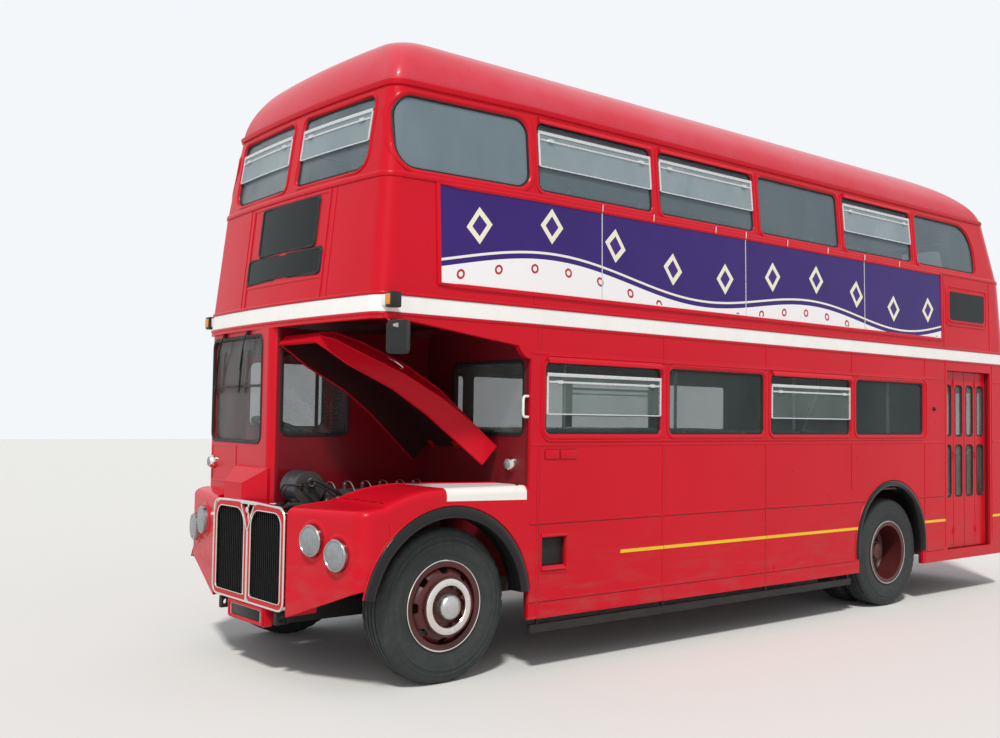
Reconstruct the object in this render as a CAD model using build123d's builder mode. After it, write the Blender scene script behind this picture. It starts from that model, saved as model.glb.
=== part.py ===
from build123d import *
import os
from math import cos, sin, tan, radians, sqrt

os.makedirs("parts", exist_ok=True)

# Half-cab double-deck bus, millimetres.
# Origin on the ground under the middle of the bus, +Z up, the front faces -Y, the kerb side is +X.
# Lengths along the bus are stations, measured rearwards from the front axle.

# Overall
WHEELBASE = 5131
FRONT_OVERHANG = 840
REAR_OVERHANG = 2409
BODY_WIDTH = 2438
REAR_LAMP_PROUD = 24
SKIRT_Z = 360
DECK_Z = 2300
GUTTER_Z = 3815
ROOF_TOP_Z = 4380

HALF_WIDTH = BODY_WIDTH / 2
BODY_LENGTH = FRONT_OVERHANG + WHEELBASE + REAR_OVERHANG
FRONT_AXLE_Y = FRONT_OVERHANG - BODY_LENGTH / 2
REAR_AXLE_Y = FRONT_AXLE_Y + WHEELBASE
REAR_WALL_ST = WHEELBASE + REAR_OVERHANG - REAR_LAMP_PROUD

# Walls and glass
WALL = 50
UPPER_WALL = 45
ROOF_SKIN = 40
GLASS_INSET = 18
GLASS = 6
REAR_CORNER_R = 300
CLEAR = 0.3
PIN_CLEAR = 0.5
PART_GAP = 5

# Body bays
BULKHEAD_ST = 603
BULKHEAD_T = 40
BULKHEAD_FOOT_Z = 620
BAY_START = 675
BAY_PITCH = 1250
BAY_COUNT = 4
LAST_JOINT_ST = BAY_START + BAY_PITCH * BAY_COUNT + 2
REAR_QUARTER_ST = 7200

# Lower windows
LOWER_SILL_Z = 1590
LOWER_HEAD_Z = 2100
LOWER_WINDOW_R = 55
PILLAR_HALF = 48

# Upper windows
UPPER_WAIST_Z = 3190
UPPER_SILL_Z = 3255
UPPER_HEAD_Z = 3752
UPPER_WINDOW_R = 120

# Wheels
TYRE_R = 497
TYRE_W = 250
AXLE_Z = TYRE_R
BEAD_R = 262
RIM_R = 292
FRONT_WHEEL_X = 985
KINGPIN_X = 800
TWIN_MID_X = 892
TWIN_SPACING = 292
WHEEL_BOLT_COUNT = 8
HAND_HOLE_COUNT = 8
SPINDLE_R = 38
HUB_R = 95
STEER_LOCK = 35

# Arches
FRONT_ARCH_ST = -40
FRONT_ARCH_Z = 485
FRONT_ARCH_R = 585
FRONT_FLARE_W = 75
REAR_ARCH_BACK = 41
REAR_ARCH_Z = 570
REAR_ARCH_R = 550
REAR_FLARE_W = 55
FLARE_PROUD = 16

# Entrance
DOOR_START_ST = 6100
DOOR_WIDTH = 880
DOOR_HEAD_Z = 2240
DOOR_SILL_Z = 459
DOOR_RECESS = 55
LEAF_T = 28
LEAF_GAP = 8
JAMB_GAP = 6
LEAF_COUNT = 4
PLATFORM_Z = 450
FLOOR_Z = 700
FLOOR_T = 50
UPPER_FLOOR_Z = 2430
UPPER_FLOOR_T = 70

# Cab
CAB_FLOOR_Z = 1130
CAB_BASE_Z = 1100
CAB_INNER_X = 25
CAB_WALL = 36
CAB_FRONT_OUTER_ST = -590
CAB_FRONT_INNER_ST = -705
SCREEN_SILL_Z = 1510
SCREEN_HEAD_Z = 2255

# Bonnet
BONNET_HINGE_ST = 585
BONNET_HINGE_Z = 1488
BONNET_OPEN = 45
BONNET_SKIN = 22

# Grille
GRILLE_HALF_W = 520
GRILLE_BOTTOM_Z = 445
GRILLE_TOP_Z = 1110
GRILLE_FACE_ST = -840
GRILLE_TUBE = 24
GRILLE_DEPTH = 38


def at(station):
    return FRONT_AXLE_Y + station


def side_plane(x=0):
    return Plane(origin=(x, 0, 0), x_dir=(0, 1, 0), z_dir=(1, 0, 0))


def front_plane(y=0):
    return Plane(origin=(0, y, 0), x_dir=(1, 0, 0), z_dir=(0, -1, 0))


def panel(y0, y1, z0, z1, radii):
    # rounded four-cornered panel; radii are front-bottom, rear-bottom, rear-top, front-top
    corners = [(y0, z0), (y1, z0), (y1, z1), (y0, z1)]
    with BuildSketch() as s:
        with BuildLine():
            Polyline(*corners, close=True)
        make_face()
        for (cy, cz), r in zip(corners, radii):
            if r > 0:
                v = s.vertices().sort_by_distance((cy, cz, 0))[0]
                fillet(v, r)
    return s.sketch


def box_between(x0, x1, y0, y1, z0, z1):
    with BuildPart() as b:
        with Locations(((x0 + x1) / 2, (y0 + y1) / 2, (z0 + z1) / 2)):
            Box(abs(x1 - x0), abs(y1 - y0), abs(z1 - z0))
    return b.part


def rod(p, q, r):
    a = Vector(*p)
    d = Vector(*q) - a
    with BuildPart() as b:
        with BuildSketch(Plane(origin=a, z_dir=d.normalized())):
            Circle(r)
        extrude(amount=d.length)
    return b.part


def lower_plan(z, inset):
    hw = HALF_WIDTH - inset
    y0 = at(BULKHEAD_ST)
    y1 = at(REAR_WALL_ST) - inset
    with BuildSketch(Plane.XY.offset(z)) as s:
        with BuildLine():
            Polyline((-hw, y0), (hw, y0), (hw, y1), (-hw, y1), close=True)
        make_face()
        fillet(s.vertices().group_by(Axis.Y)[-1], REAR_CORNER_R - inset)
    return s.sketch


# Upper deck plan sections: height, half width, front half width, front centre station,
# front corner station, rear station, front corner radius, rear corner radius
REAR_LEAN_WAIST = 120
REAR_LEAN_GUTTER = 345
UPPER_SECTIONS = [
    (DECK_Z, HALF_WIDTH, 1205, -690, -615, REAR_WALL_ST, 120, REAR_CORNER_R),
    (UPPER_WAIST_Z, 1205, 1145, -593, -533, REAR_WALL_ST - REAR_LEAN_WAIST, 110, 300),
    (GUTTER_Z, 1150, 1080, -500, -445, REAR_WALL_ST - REAR_LEAN_GUTTER, 110, 300),
]
ROOF_SECTIONS = [
    (GUTTER_Z, 1150, 1080, -500, -445, REAR_WALL_ST - REAR_LEAN_GUTTER, 110, 300),
    (3880, 1142, 1074, -492, -437, REAR_WALL_ST - 395, 115, 300),
    (3950, 1120, 1056, -472, -417, REAR_WALL_ST - 478, 125, 300),
    (4020, 1072, 1022, -443, -388, REAR_WALL_ST - 590, 140, 310),
    (4090, 1000, 970, -402, -347, REAR_WALL_ST - 740, 160, 320),
    (4155, 905, 895, -345, -295, REAR_WALL_ST - 940, 180, 330),
    (4215, 790, 785, -252, -207, REAR_WALL_ST - 1170, 195, 330),
    (4270, 650, 640, -120, -80, REAR_WALL_ST - 1440, 200, 310),
    (4320, 490, 480, 75, 105, REAR_WALL_ST - 1760, 190, 270),
    (4355, 340, 330, 310, 330, REAR_WALL_ST - 2090, 160, 210),
    (ROOF_TOP_Z, 160, 150, 640, 655, REAR_WALL_ST - 2560, 60, 80),
]
TAPER_END_ST = 620


def deck_plan(section, inset, drop=0):
    z, hw, hwf, front, corner, rear, rf, rr = section
    t = max(TAPER_END_ST, corner + 200)
    with BuildSketch(Plane.XY.offset(z - drop)) as s:
        with BuildLine():
            ThreePointArc(
                (-(hwf - inset), at(corner) + inset),
                (0, at(front) + inset),
                (hwf - inset, at(corner) + inset),
            )
            Polyline(
                (hwf - inset, at(corner) + inset),
                (hw - inset, at(t)),
                (hw - inset, at(rear) - inset),
                (-(hw - inset), at(rear) - inset),
                (-(hw - inset), at(t)),
                (-(hwf - inset), at(corner) + inset),
            )
        make_face()
        fillet(s.vertices().group_by(Axis.Y)[0], max(rf - inset, 30))
        fillet(s.vertices().group_by(Axis.Y)[-1], max(rr - inset, 30))
    return s.sketch


def deck_solid(sections, inset, drop=0, stretch=0):
    # stack of ruled lofts between successive plan sections
    with BuildPart() as b:
        for k in range(len(sections) - 1):
            loft([deck_plan(sections[k], inset, drop), deck_plan(sections[k + 1], inset, drop)], ruled=True)
        if stretch:
            extrude(deck_plan(sections[0], inset, drop), amount=-stretch)
    return b.part


# Window tables: front station, rear station, sill, head, four corner radii
def bay_window(k):
    y0 = BAY_START + BAY_PITCH * k + PILLAR_HALF + 12
    y1 = BAY_START + BAY_PITCH * (k + 1) - PILLAR_HALF + 28
    return (y0, y1)


LOWER_WINDOWS = [
    (bay_window(k)[0], bay_window(k)[1], LOWER_SILL_Z, LOWER_HEAD_Z, (LOWER_WINDOW_R,) * 4)
    for k in range(BAY_COUNT)
]
UPPER_WINDOWS = [
    (-472, 606, UPPER_SILL_Z, UPPER_HEAD_Z, (160, UPPER_WINDOW_R, UPPER_WINDOW_R, 160)),
] + [
    (
        BAY_START + BAY_PITCH * k * 0.979 - 4,
        BAY_START + BAY_PITCH * k * 0.979 + 1150,
        UPPER_SILL_Z,
        UPPER_HEAD_Z,
        (UPPER_WINDOW_R * 0.5,) * 4,
    )
    for k in range(BAY_COUNT)
] + [
    (5580, 6720, UPPER_SILL_Z, UPPER_HEAD_Z, (60, 60, 330, 60)),
]
FRONT_WINDOW_GAP = 68
FRONT_WINDOW_X = 915
FRONT_SILL_Z = 3268
FRONT_HEAD_Z = 3760
FRONT_WINDOW_R = 110
SIDE_CUT_X = FRONT_WINDOW_X + 40


def window_sheet(table):
    with BuildSketch() as s:
        for y0, y1, z0, z1, radii in table:
            add(panel(at(y0), at(y1), z0, z1, radii))
    return s.sketch


def side_cutter(table, sign):
    with BuildPart() as b:
        extrude(side_plane(sign * SIDE_CUT_X) * window_sheet(table), amount=sign * (HALF_WIDTH + 200 - SIDE_CUT_X))
    return b.part


def disc_x(y, z, r, x0, x1):
    with BuildPart() as b:
        with BuildSketch(side_plane(x0)):
            with Locations((y, z)):
                Circle(r)
        extrude(amount=x1 - x0)
    return b.part


FRONT_ARCH_Y = at(FRONT_ARCH_ST)
REAR_ARCH_Y = REAR_AXLE_Y - REAR_ARCH_BACK

# Lower body walls
with BuildPart() as lower_walls:
    extrude(lower_plan(SKIRT_Z, 0), amount=DECK_Z - SKIRT_Z)
    extrude(lower_plan(SKIRT_Z, WALL), amount=DECK_Z - SKIRT_Z, mode=Mode.SUBTRACT)
    # the front is left open for the bulkhead
    add(
        box_between(-HALF_WIDTH + WALL, HALF_WIDTH - WALL, at(BULKHEAD_ST) - 10, at(BULKHEAD_ST) + 200,
                    SKIRT_Z - 1, DECK_Z + 1),
        mode=Mode.SUBTRACT,
    )

INLET_ST = (715, 940)
INLET_Z = (670, 908)
INLET_DEPTH = 42

with BuildPart() as lower_side_nearside:
    add(lower_walls.part)
    add(box_between(0, 2000, at(BULKHEAD_ST) - 50, at(LAST_JOINT_ST), 0, 3000), mode=Mode.INTERSECT)
    add(side_cutter(LOWER_WINDOWS, 1), mode=Mode.SUBTRACT)
    add(disc_x(REAR_ARCH_Y, REAR_ARCH_Z, REAR_ARCH_R, 500, 2000), mode=Mode.SUBTRACT)
    add(box_between(900, 2000, REAR_ARCH_Y - REAR_ARCH_R, REAR_ARCH_Y + REAR_ARCH_R, 0, REAR_ARCH_Z),
        mode=Mode.SUBTRACT)
    # air inlet: a recess in the thickness of the wall
    add(box_between(HALF_WIDTH - INLET_DEPTH, HALF_WIDTH + 50, at(INLET_ST[0]), at(INLET_ST[1]),
                    INLET_Z[0], INLET_Z[1]), mode=Mode.SUBTRACT)

with BuildPart() as lower_side_offside:
    add(lower_walls.part)
    add(box_between(-2000, 0, at(BULKHEAD_ST) - 50, at(REAR_QUARTER_ST), 0, 3000), mode=Mode.INTERSECT)
    add(side_cutter(LOWER_WINDOWS, -1), mode=Mode.SUBTRACT)
    add(disc_x(REAR_ARCH_Y, REAR_ARCH_Z, REAR_ARCH_R, -2000, -500), mode=Mode.SUBTRACT)
    add(box_between(-2000, -900, REAR_ARCH_Y - REAR_ARCH_R, REAR_ARCH_Y + REAR_ARCH_R, 0, REAR_ARCH_Z),
        mode=Mode.SUBTRACT)

# Entrance
DOOR_Y0 = at(DOOR_START_ST)
DOOR_Y1 = DOOR_Y0 + DOOR_WIDTH
LEAF_W = (DOOR_WIDTH - 2 * JAMB_GAP - (LEAF_COUNT - 1) * LEAF_GAP) / LEAF_COUNT
LEAF_OUT_X = HALF_WIDTH - DOOR_RECESS
LEAF_IN_X = LEAF_OUT_X - LEAF_T
LEAF_Z0 = DOOR_SILL_Z + 6
LEAF_Z1 = DOOR_HEAD_Z - 6
PIVOT_R = 8
PIVOT_IN = 14
JAMB_D = 60
JAMB_IN_X = HALF_WIDTH - 115

with BuildPart() as entrance_frame:
    add(lower_walls.part)
    add(box_between(0, 2000, at(LAST_JOINT_ST), at(REAR_QUARTER_ST), 0, 3000), mode=Mode.INTERSECT)
    for y in (DOOR_Y0 - JAMB_D, DOOR_Y1):
        add(box_between(JAMB_IN_X, HALF_WIDTH - 10, y, y + JAMB_D, DOOR_SILL_Z - 74, DECK_Z))
    for z0, z1 in ((DOOR_SILL_Z - 74, DOOR_SILL_Z), (DOOR_HEAD_Z, DECK_Z)):
        add(box_between(JAMB_IN_X, HALF_WIDTH - 10, DOOR_Y0, DOOR_Y1, z0, z1))
    add(box_between(JAMB_IN_X - 10, 2000, DOOR_Y0, DOOR_Y1, DOOR_SILL_Z, DOOR_HEAD_Z), mode=Mode.SUBTRACT)
    add(disc_x(REAR_ARCH_Y, REAR_ARCH_Z, REAR_ARCH_R, 500, 2000), mode=Mode.SUBTRACT)
    # sockets of the door posts
    for y in (DOOR_Y0 + JAMB_GAP + PIVOT_R, DOOR_Y1 - JAMB_GAP - PIVOT_R):
        add(rod((LEAF_IN_X, y, DOOR_SILL_Z - PIVOT_IN - 1), (LEAF_IN_X, y, DOOR_HEAD_Z + PIVOT_IN + 1),
                PIVOT_R + PIN_CLEAR), mode=Mode.SUBTRACT)

# Rear window of the lower deck: x range and heights
REAR_WINDOW_X = (150, 960)
REAR_WINDOW_Z = (1480, 2060)

with BuildPart() as lower_rear:
    add(lower_walls.part)
    add(box_between(-2000, 2000, at(REAR_QUARTER_ST), 6000, 0, 3000), mode=Mode.INTERSECT)
    extrude(front_plane(at(REAR_WALL_ST) + 50) * panel(REAR_WINDOW_X[0], REAR_WINDOW_X[1], REAR_WINDOW_Z[0],
                                                       REAR_WINDOW_Z[1], (60,) * 4),
            amount=250, mode=Mode.SUBTRACT)

with BuildPart() as front_bulkhead:
    with Locations((0, at(BULKHEAD_ST) + BULKHEAD_T / 2, (BULKHEAD_FOOT_Z + UPPER_FLOOR_Z - UPPER_FLOOR_T) / 2)):
        Box(2 * (HALF_WIDTH - WALL), BULKHEAD_T, UPPER_FLOOR_Z - UPPER_FLOOR_T - BULKHEAD_FOOT_Z)
    for x0, x1 in ((360, 1140), (-1090, -130)):
        extrude(front_plane(at(BULKHEAD_ST) - 20) * panel(x0, x1, 1594, 2090, (60,) * 4),
                amount=-BULKHEAD_T - 60, mode=Mode.SUBTRACT)

# Upper deck walls
UPPER_FRONT_ST = -430
UPPER_REAR_ST = 6960

with BuildPart() as upper_walls:
    add(deck_solid(UPPER_SECTIONS, 0))
    add(deck_solid(UPPER_SECTIONS, UPPER_WALL), mode=Mode.SUBTRACT)

CANOPY_REAR_Z = 2105

with BuildPart() as upper_side_nearside:
    add(upper_walls.part)
    add(box_between(0, 2000, at(UPPER_FRONT_ST), at(UPPER_REAR_ST), 0, 6000), mode=Mode.INTERSECT)
    # canopy bracket: the side panel drops in a curve to the bulkhead's edge
    with BuildSketch(side_plane(HALF_WIDTH - UPPER_WALL)) as bracket:
        with BuildLine():
            l1 = Line((at(BULKHEAD_ST), DECK_Z), (at(BULKHEAD_ST), CANOPY_REAR_Z))
            l2 = RadiusArc((at(BULKHEAD_ST), CANOPY_REAR_Z), (at(BULKHEAD_ST) - 110, CANOPY_REAR_Z + 84), 130)
            l3 = Line((at(BULKHEAD_ST) - 110, CANOPY_REAR_Z + 84), (at(UPPER_FRONT_ST), DECK_Z))
            l4 = Line((at(UPPER_FRONT_ST), DECK_Z), (at(BULKHEAD_ST), DECK_Z))
        make_face()
    extrude(amount=UPPER_WALL)
    add(side_cutter(UPPER_WINDOWS, 1), mode=Mode.SUBTRACT)

with BuildPart() as upper_side_offside:
    add(upper_walls.part)
    add(box_between(-2000, 0, at(UPPER_FRONT_ST), at(UPPER_REAR_ST), 0, 6000), mode=Mode.INTERSECT)
    add(side_cutter(UPPER_WINDOWS, -1), mode=Mode.SUBTRACT)


def front_window_sheet():
    with BuildSketch() as s:
        for sign in (1, -1):
            x0, x1 = sorted((sign * FRONT_WINDOW_GAP, sign * FRONT_WINDOW_X))
            radii = (50, FRONT_WINDOW_R, 60, 50) if sign > 0 else (FRONT_WINDOW_R, 50, 50, 60)
            add(panel(x0, x1, FRONT_SILL_Z, FRONT_HEAD_Z, radii))
    return s.sketch


with BuildPart() as front_window_cutter:
    extrude(front_plane(at(-900)) * front_window_sheet(), amount=-600)

with BuildPart() as upper_front:
    add(upper_walls.part)
    add(box_between(-2000, 2000, at(-900), at(UPPER_FRONT_ST), 0, 6000), mode=Mode.INTERSECT)
    add(front_window_cutter.part, mode=Mode.SUBTRACT)
    add(side_cutter(UPPER_WINDOWS[:1], 1), mode=Mode.SUBTRACT)
    add(side_cutter(UPPER_WINDOWS[:1], -1), mode=Mode.SUBTRACT)

# Emergency exit in the raked rear wall, cut square to the slope
lower_rear_edge = (at(REAR_WALL_ST - REAR_LEAN_WAIST), UPPER_WAIST_Z)
upper_rear_edge = (at(REAR_WALL_ST - REAR_LEAN_GUTTER), GUTTER_Z)
SLOPE = Vector(0, upper_rear_edge[0] - lower_rear_edge[0], upper_rear_edge[1] - lower_rear_edge[1]).normalized()
EXIT_HALF_W = 620
EXIT_FROM = 40
EXIT_TO = 560
EXIT_GAP = 6
EXIT_GLASS_IN = 70
exit_plane = Plane(
    origin=(0, lower_rear_edge[0], lower_rear_edge[1]),
    x_dir=(-1, 0, 0),
    z_dir=Vector(-1, 0, 0).cross(SLOPE),
)


def exit_slab(half_w, v0, v1, r, n0, n1):
    # slab square to the slope; n is measured outwards from the outer face
    with BuildPart() as b:
        extrude(exit_plane.offset(n0) * panel(-half_w, half_w, v0, v1, (r,) * 4), amount=n1 - n0)
    return b.part


with BuildPart() as upper_rear:
    add(upper_walls.part)
    add(box_between(-2000, 2000, at(UPPER_REAR_ST), 6000, 0, 6000), mode=Mode.INTERSECT)
    add(exit_slab(EXIT_HALF_W, EXIT_FROM, EXIT_TO, 60, -300, 200), mode=Mode.SUBTRACT)

with BuildPart() as roof_shell:
    loft([deck_plan(section, 0) for section in ROOF_SECTIONS])
    add(deck_solid(ROOF_SECTIONS, ROOF_SKIN, ROOF_SKIN, ROOF_SKIN), mode=Mode.SUBTRACT)


def roof_piece(x0, x1, start, end, z0, z1):
    with BuildPart() as b:
        add(roof_shell.part)
        add(box_between(x0, x1, at(start), at(end), z0, z1), mode=Mode.INTERSECT)
    return b.part


# front dome, middle and rear dome of the crown, and the cove panels under them at the front, sides and rear
ROOF_JOINTS = (-700, TAPER_END_ST, 5560, 7700)
COVE_TOP_Z = GUTTER_Z + 141
COVE_END_X = 850
with BuildPart() as roof:
    for start, end in zip(ROOF_JOINTS, ROOF_JOINTS[1:]):
        add(roof_piece(-2000, 2000, start + CLEAR, end, COVE_TOP_Z + CLEAR, 5000))
    for start, end in ((-700, 1000), (6000, 7700)):
        add(roof_piece(-COVE_END_X, COVE_END_X, start, end, 3000, COVE_TOP_Z))
    add(roof_piece(COVE_END_X + CLEAR, 2000, -700, 7700, 3000, COVE_TOP_Z))
    add(roof_piece(-2000, -COVE_END_X - CLEAR, -700, 7700, 3000, COVE_TOP_Z))


# Floors
WHEEL_BOX_X = 575
WHEEL_BOX_TOP = 1100
WHEEL_BOX_HALF_L = 600
BOX_SKIN = 15
INNER_X = HALF_WIDTH - WALL
FLOOR_FRONT = at(BULKHEAD_ST) + BULKHEAD_T
FLOOR_STEP_ST = 5990

with BuildPart() as lower_floor:
    add(box_between(-INNER_X, INNER_X, FLOOR_FRONT, at(FLOOR_STEP_ST), FLOOR_Z - FLOOR_T, FLOOR_Z))
    # platform at the entrance, with the riser of its step
    add(box_between(-INNER_X, JAMB_IN_X, at(FLOOR_STEP_ST), DOOR_Y1 + JAMB_D, PLATFORM_Z - FLOOR_T, PLATFORM_Z))
    with BuildSketch(Plane.XY.offset(PLATFORM_Z - FLOOR_T)) as rear_deck:
        add(lower_plan(0, WALL))
        with Locations((0, DOOR_Y1 + JAMB_D - 5000)):
            Rectangle(4000, 10000, mode=Mode.SUBTRACT)
    extrude(amount=FLOOR_T)
    add(box_between(-INNER_X, JAMB_IN_X, at(FLOOR_STEP_ST) - 30, at(FLOOR_STEP_ST), PLATFORM_Z - FLOOR_T, FLOOR_Z))
    for s in (1, -1):
        y0 = REAR_AXLE_Y - WHEEL_BOX_HALF_L
        y1 = REAR_AXLE_Y + WHEEL_BOX_HALF_L
        add(box_between(s * WHEEL_BOX_X, s * INNER_X, y0, y1, FLOOR_Z - FLOOR_T, WHEEL_BOX_TOP))
        add(box_between(s * (WHEEL_BOX_X + BOX_SKIN), s * INNER_X, y0 + BOX_SKIN, y1 - BOX_SKIN,
                        0, WHEEL_BOX_TOP - BOX_SKIN), mode=Mode.SUBTRACT)

STAIR_X = (-INNER_X, -560)
STAIR_BOTTOM_ST = 7080
STAIR_STEPS = 8
STAIR_GO = 135
UPPER_FLOOR_FRONT_ST = -560
STAIR_TOP_ST = STAIR_BOTTOM_ST - STAIR_STEPS * STAIR_GO

with BuildPart() as upper_floor:
    add(deck_solid(UPPER_SECTIONS[:2], UPPER_WALL + CLEAR))
    add(box_between(-2000, 2000, at(UPPER_FLOOR_FRONT_ST), 6000, UPPER_FLOOR_Z - UPPER_FLOOR_T, UPPER_FLOOR_Z),
        mode=Mode.INTERSECT)
    # stair well
    add(box_between(STAIR_X[0] + 0.5, STAIR_X[1] + 40, at(STAIR_TOP_ST), at(STAIR_BOTTOM_ST) - 150,
                    UPPER_FLOOR_Z - 200, UPPER_FLOOR_Z + 10), mode=Mode.SUBTRACT)

STAIR_RISE = (UPPER_FLOOR_Z - PLATFORM_Z) / (STAIR_STEPS + 1)
with BuildPart() as staircase:
    with BuildSketch(side_plane(STAIR_X[0])):
        with BuildLine():
            pts = [(at(STAIR_BOTTOM_ST), PLATFORM_Z)]
            for k in range(STAIR_STEPS):
                pts.append((at(STAIR_BOTTOM_ST) - k * STAIR_GO, PLATFORM_Z + (k + 1) * STAIR_RISE))
                pts.append((at(STAIR_BOTTOM_ST) - (k + 1) * STAIR_GO, PLATFORM_Z + (k + 1) * STAIR_RISE))
            pts.append((at(STAIR_TOP_ST), PLATFORM_Z + (STAIR_STEPS - 1) * STAIR_RISE))
            pts.append((at(STAIR_BOTTOM_ST) - 200, PLATFORM_Z))
            Polyline(*pts, close=True)
        make_face()
    extrude(amount=STAIR_X[1] - STAIR_X[0])


# Driver's cab
def cab_plan(z, inset, rear_extra=0):
    # front edge runs slantwise from the offside to the inner corner
    x0 = -HALF_WIDTH + inset
    x1 = CAB_INNER_X - inset
    with BuildSketch(Plane.XY.offset(z)) as s:
        with BuildLine():
            Polyline(
                (x0, at(BULKHEAD_ST) + rear_extra),
                (x0, at(CAB_FRONT_OUTER_ST) + inset),
                (x1, at(CAB_FRONT_INNER_ST) + inset),
                (x1, at(BULKHEAD_ST) + rear_extra),
                close=True,
            )
        make_face()
        fillet(s.vertices().group_by(Axis.Y)[0], max(70 - inset, 20))
        fillet(s.vertices().sort_by_distance((x0, at(CAB_FRONT_OUTER_ST) + inset, z))[0], max(130 - inset, 30))
    return s.sketch


SCREEN_X = (-1110, -150)
CAB_SIDE_WINDOW = (-620, -100, 1570, 2200)
CAB_DOOR_ST = (-330, 520)
CAB_DOOR_Z = (1200, 2200)
CAB_OPENING_IN = 22
COWL_HALF_W = 525
COWL_FRONT_OUTER_X = 455
COWL_FRONT_INNER_X = 185
COWL_FRONT_Z = 1240
COWL_REAR_Z = 1335
COWL_FRONT_ST = GRILLE_FACE_ST + GRILLE_DEPTH + CLEAR
RAIL_REACH_ST = 1160
DOOR_T = 30
DOOR_OFF = 5
RAIL_T = 8
LIP_T = 6
RAIL_LIP = 20
RUN_CLEAR = 2
CAB_DOOR_IN_X = -HALF_WIDTH - DOOR_OFF
CAB_DOOR_OUT_X = CAB_DOOR_IN_X - DOOR_T
RAIL_OUT_X = CAB_DOOR_OUT_X - RUN_CLEAR - LIP_T

with BuildPart() as cab_outer:
    extrude(cab_plan(CAB_BASE_Z, 0), amount=DECK_Z - CAB_BASE_Z)

# cowl ahead of the cab: narrower at its front, its top falling towards the radiator grille
with BuildPart() as cowl:
    with BuildSketch(Plane.XY.offset(CAB_BASE_Z)):
        with BuildLine():
            Polyline(
                (-COWL_HALF_W, at(-600)),
                (-COWL_FRONT_OUTER_X, at(COWL_FRONT_ST)),
                (-COWL_FRONT_INNER_X, at(COWL_FRONT_ST)),
                (0, at(CAB_FRONT_INNER_ST)),
                (0, at(-600)),
                close=True,
            )
        make_face()
    extrude(amount=400)
    with BuildSketch(side_plane(-COWL_HALF_W)):
        with BuildLine():
            Polyline(
                (at(-600), CAB_BASE_Z),
                (at(COWL_FRONT_ST), CAB_BASE_Z),
                (at(COWL_FRONT_ST), COWL_FRONT_Z - 8),
                (at(COWL_FRONT_ST) + 8, COWL_FRONT_Z),
                (at(CAB_FRONT_INNER_ST), COWL_REAR_Z),
                (at(-600), COWL_REAR_Z + 20),
                close=True,
            )
        make_face()
    extrude(amount=COWL_HALF_W, mode=Mode.INTERSECT)

with BuildPart() as cab_shell:
    add(cab_outer.part)
    add(cowl.part)
    extrude(cab_plan(CAB_FLOOR_Z, CAB_WALL, 10), amount=DECK_Z - CAB_FLOOR_Z + 10, mode=Mode.SUBTRACT)
    # windscreen, side window and door openings
    extrude(front_plane(at(-900)) * panel(SCREEN_X[0], SCREEN_X[1], SCREEN_SILL_Z, SCREEN_HEAD_Z, (60,) * 4),
            amount=-450, mode=Mode.SUBTRACT)
    extrude(side_plane(-60) * panel(at(CAB_SIDE_WINDOW[0]), at(CAB_SIDE_WINDOW[1]), CAB_SIDE_WINDOW[2],
                                    CAB_SIDE_WINDOW[3], (50,) * 4), amount=120, mode=Mode.SUBTRACT)
    extrude(side_plane(-HALF_WIDTH - 50) * panel(at(CAB_DOOR_ST[0] + CAB_OPENING_IN),
                                                 at(CAB_DOOR_ST[1] - CAB_OPENING_IN),
                                                 CAB_DOOR_Z[0] + CAB_OPENING_IN,
                                                 CAB_DOOR_Z[1] - CAB_OPENING_IN, (50,) * 4),
            amount=140, mode=Mode.SUBTRACT)
    # rails of the sliding cab door, one above and one below it
    for z, s in ((CAB_DOOR_Z[1], 1), (CAB_DOOR_Z[0], -1)):
        add(box_between(-HALF_WIDTH, RAIL_OUT_X, at(CAB_DOOR_ST[0]), at(RAIL_REACH_ST),
                        z + s * CLEAR, z + s * (CLEAR + RAIL_T)))
        add(box_between(RAIL_OUT_X, RAIL_OUT_X + LIP_T, at(CAB_DOOR_ST[0]), at(RAIL_REACH_ST),
                        z - s * RAIL_LIP, z + s * (CLEAR + RAIL_T)))

CAB_DOOR_WINDOW = (-245, 435, 1600, 2130)
with BuildPart() as cab_door:
    add(box_between(CAB_DOOR_IN_X, CAB_DOOR_OUT_X, at(CAB_DOOR_ST[0]), at(CAB_DOOR_ST[1]),
                    CAB_DOOR_Z[0], CAB_DOOR_Z[1]))
    extrude(side_plane(CAB_DOOR_OUT_X - 20) * panel(at(CAB_DOOR_WINDOW[0]), at(CAB_DOOR_WINDOW[1]),
                                                    CAB_DOOR_WINDOW[2], CAB_DOOR_WINDOW[3], (60,) * 4),
            amount=DOOR_T + 40, mode=Mode.SUBTRACT)

# Front wings
WING_TOP_Z = 1255
WING_NOSE_Z = 1105
WING_SKIN = 14
VALANCE_Z = 1060
WING_CORNER_R = 120
WING_EDGE_R = 50
WING_IN_X = 528
WING_FACE_IN_ST = -832
WING_FACE_OUT_ST = -703
WING_INNER_REAR_X = 905


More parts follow.
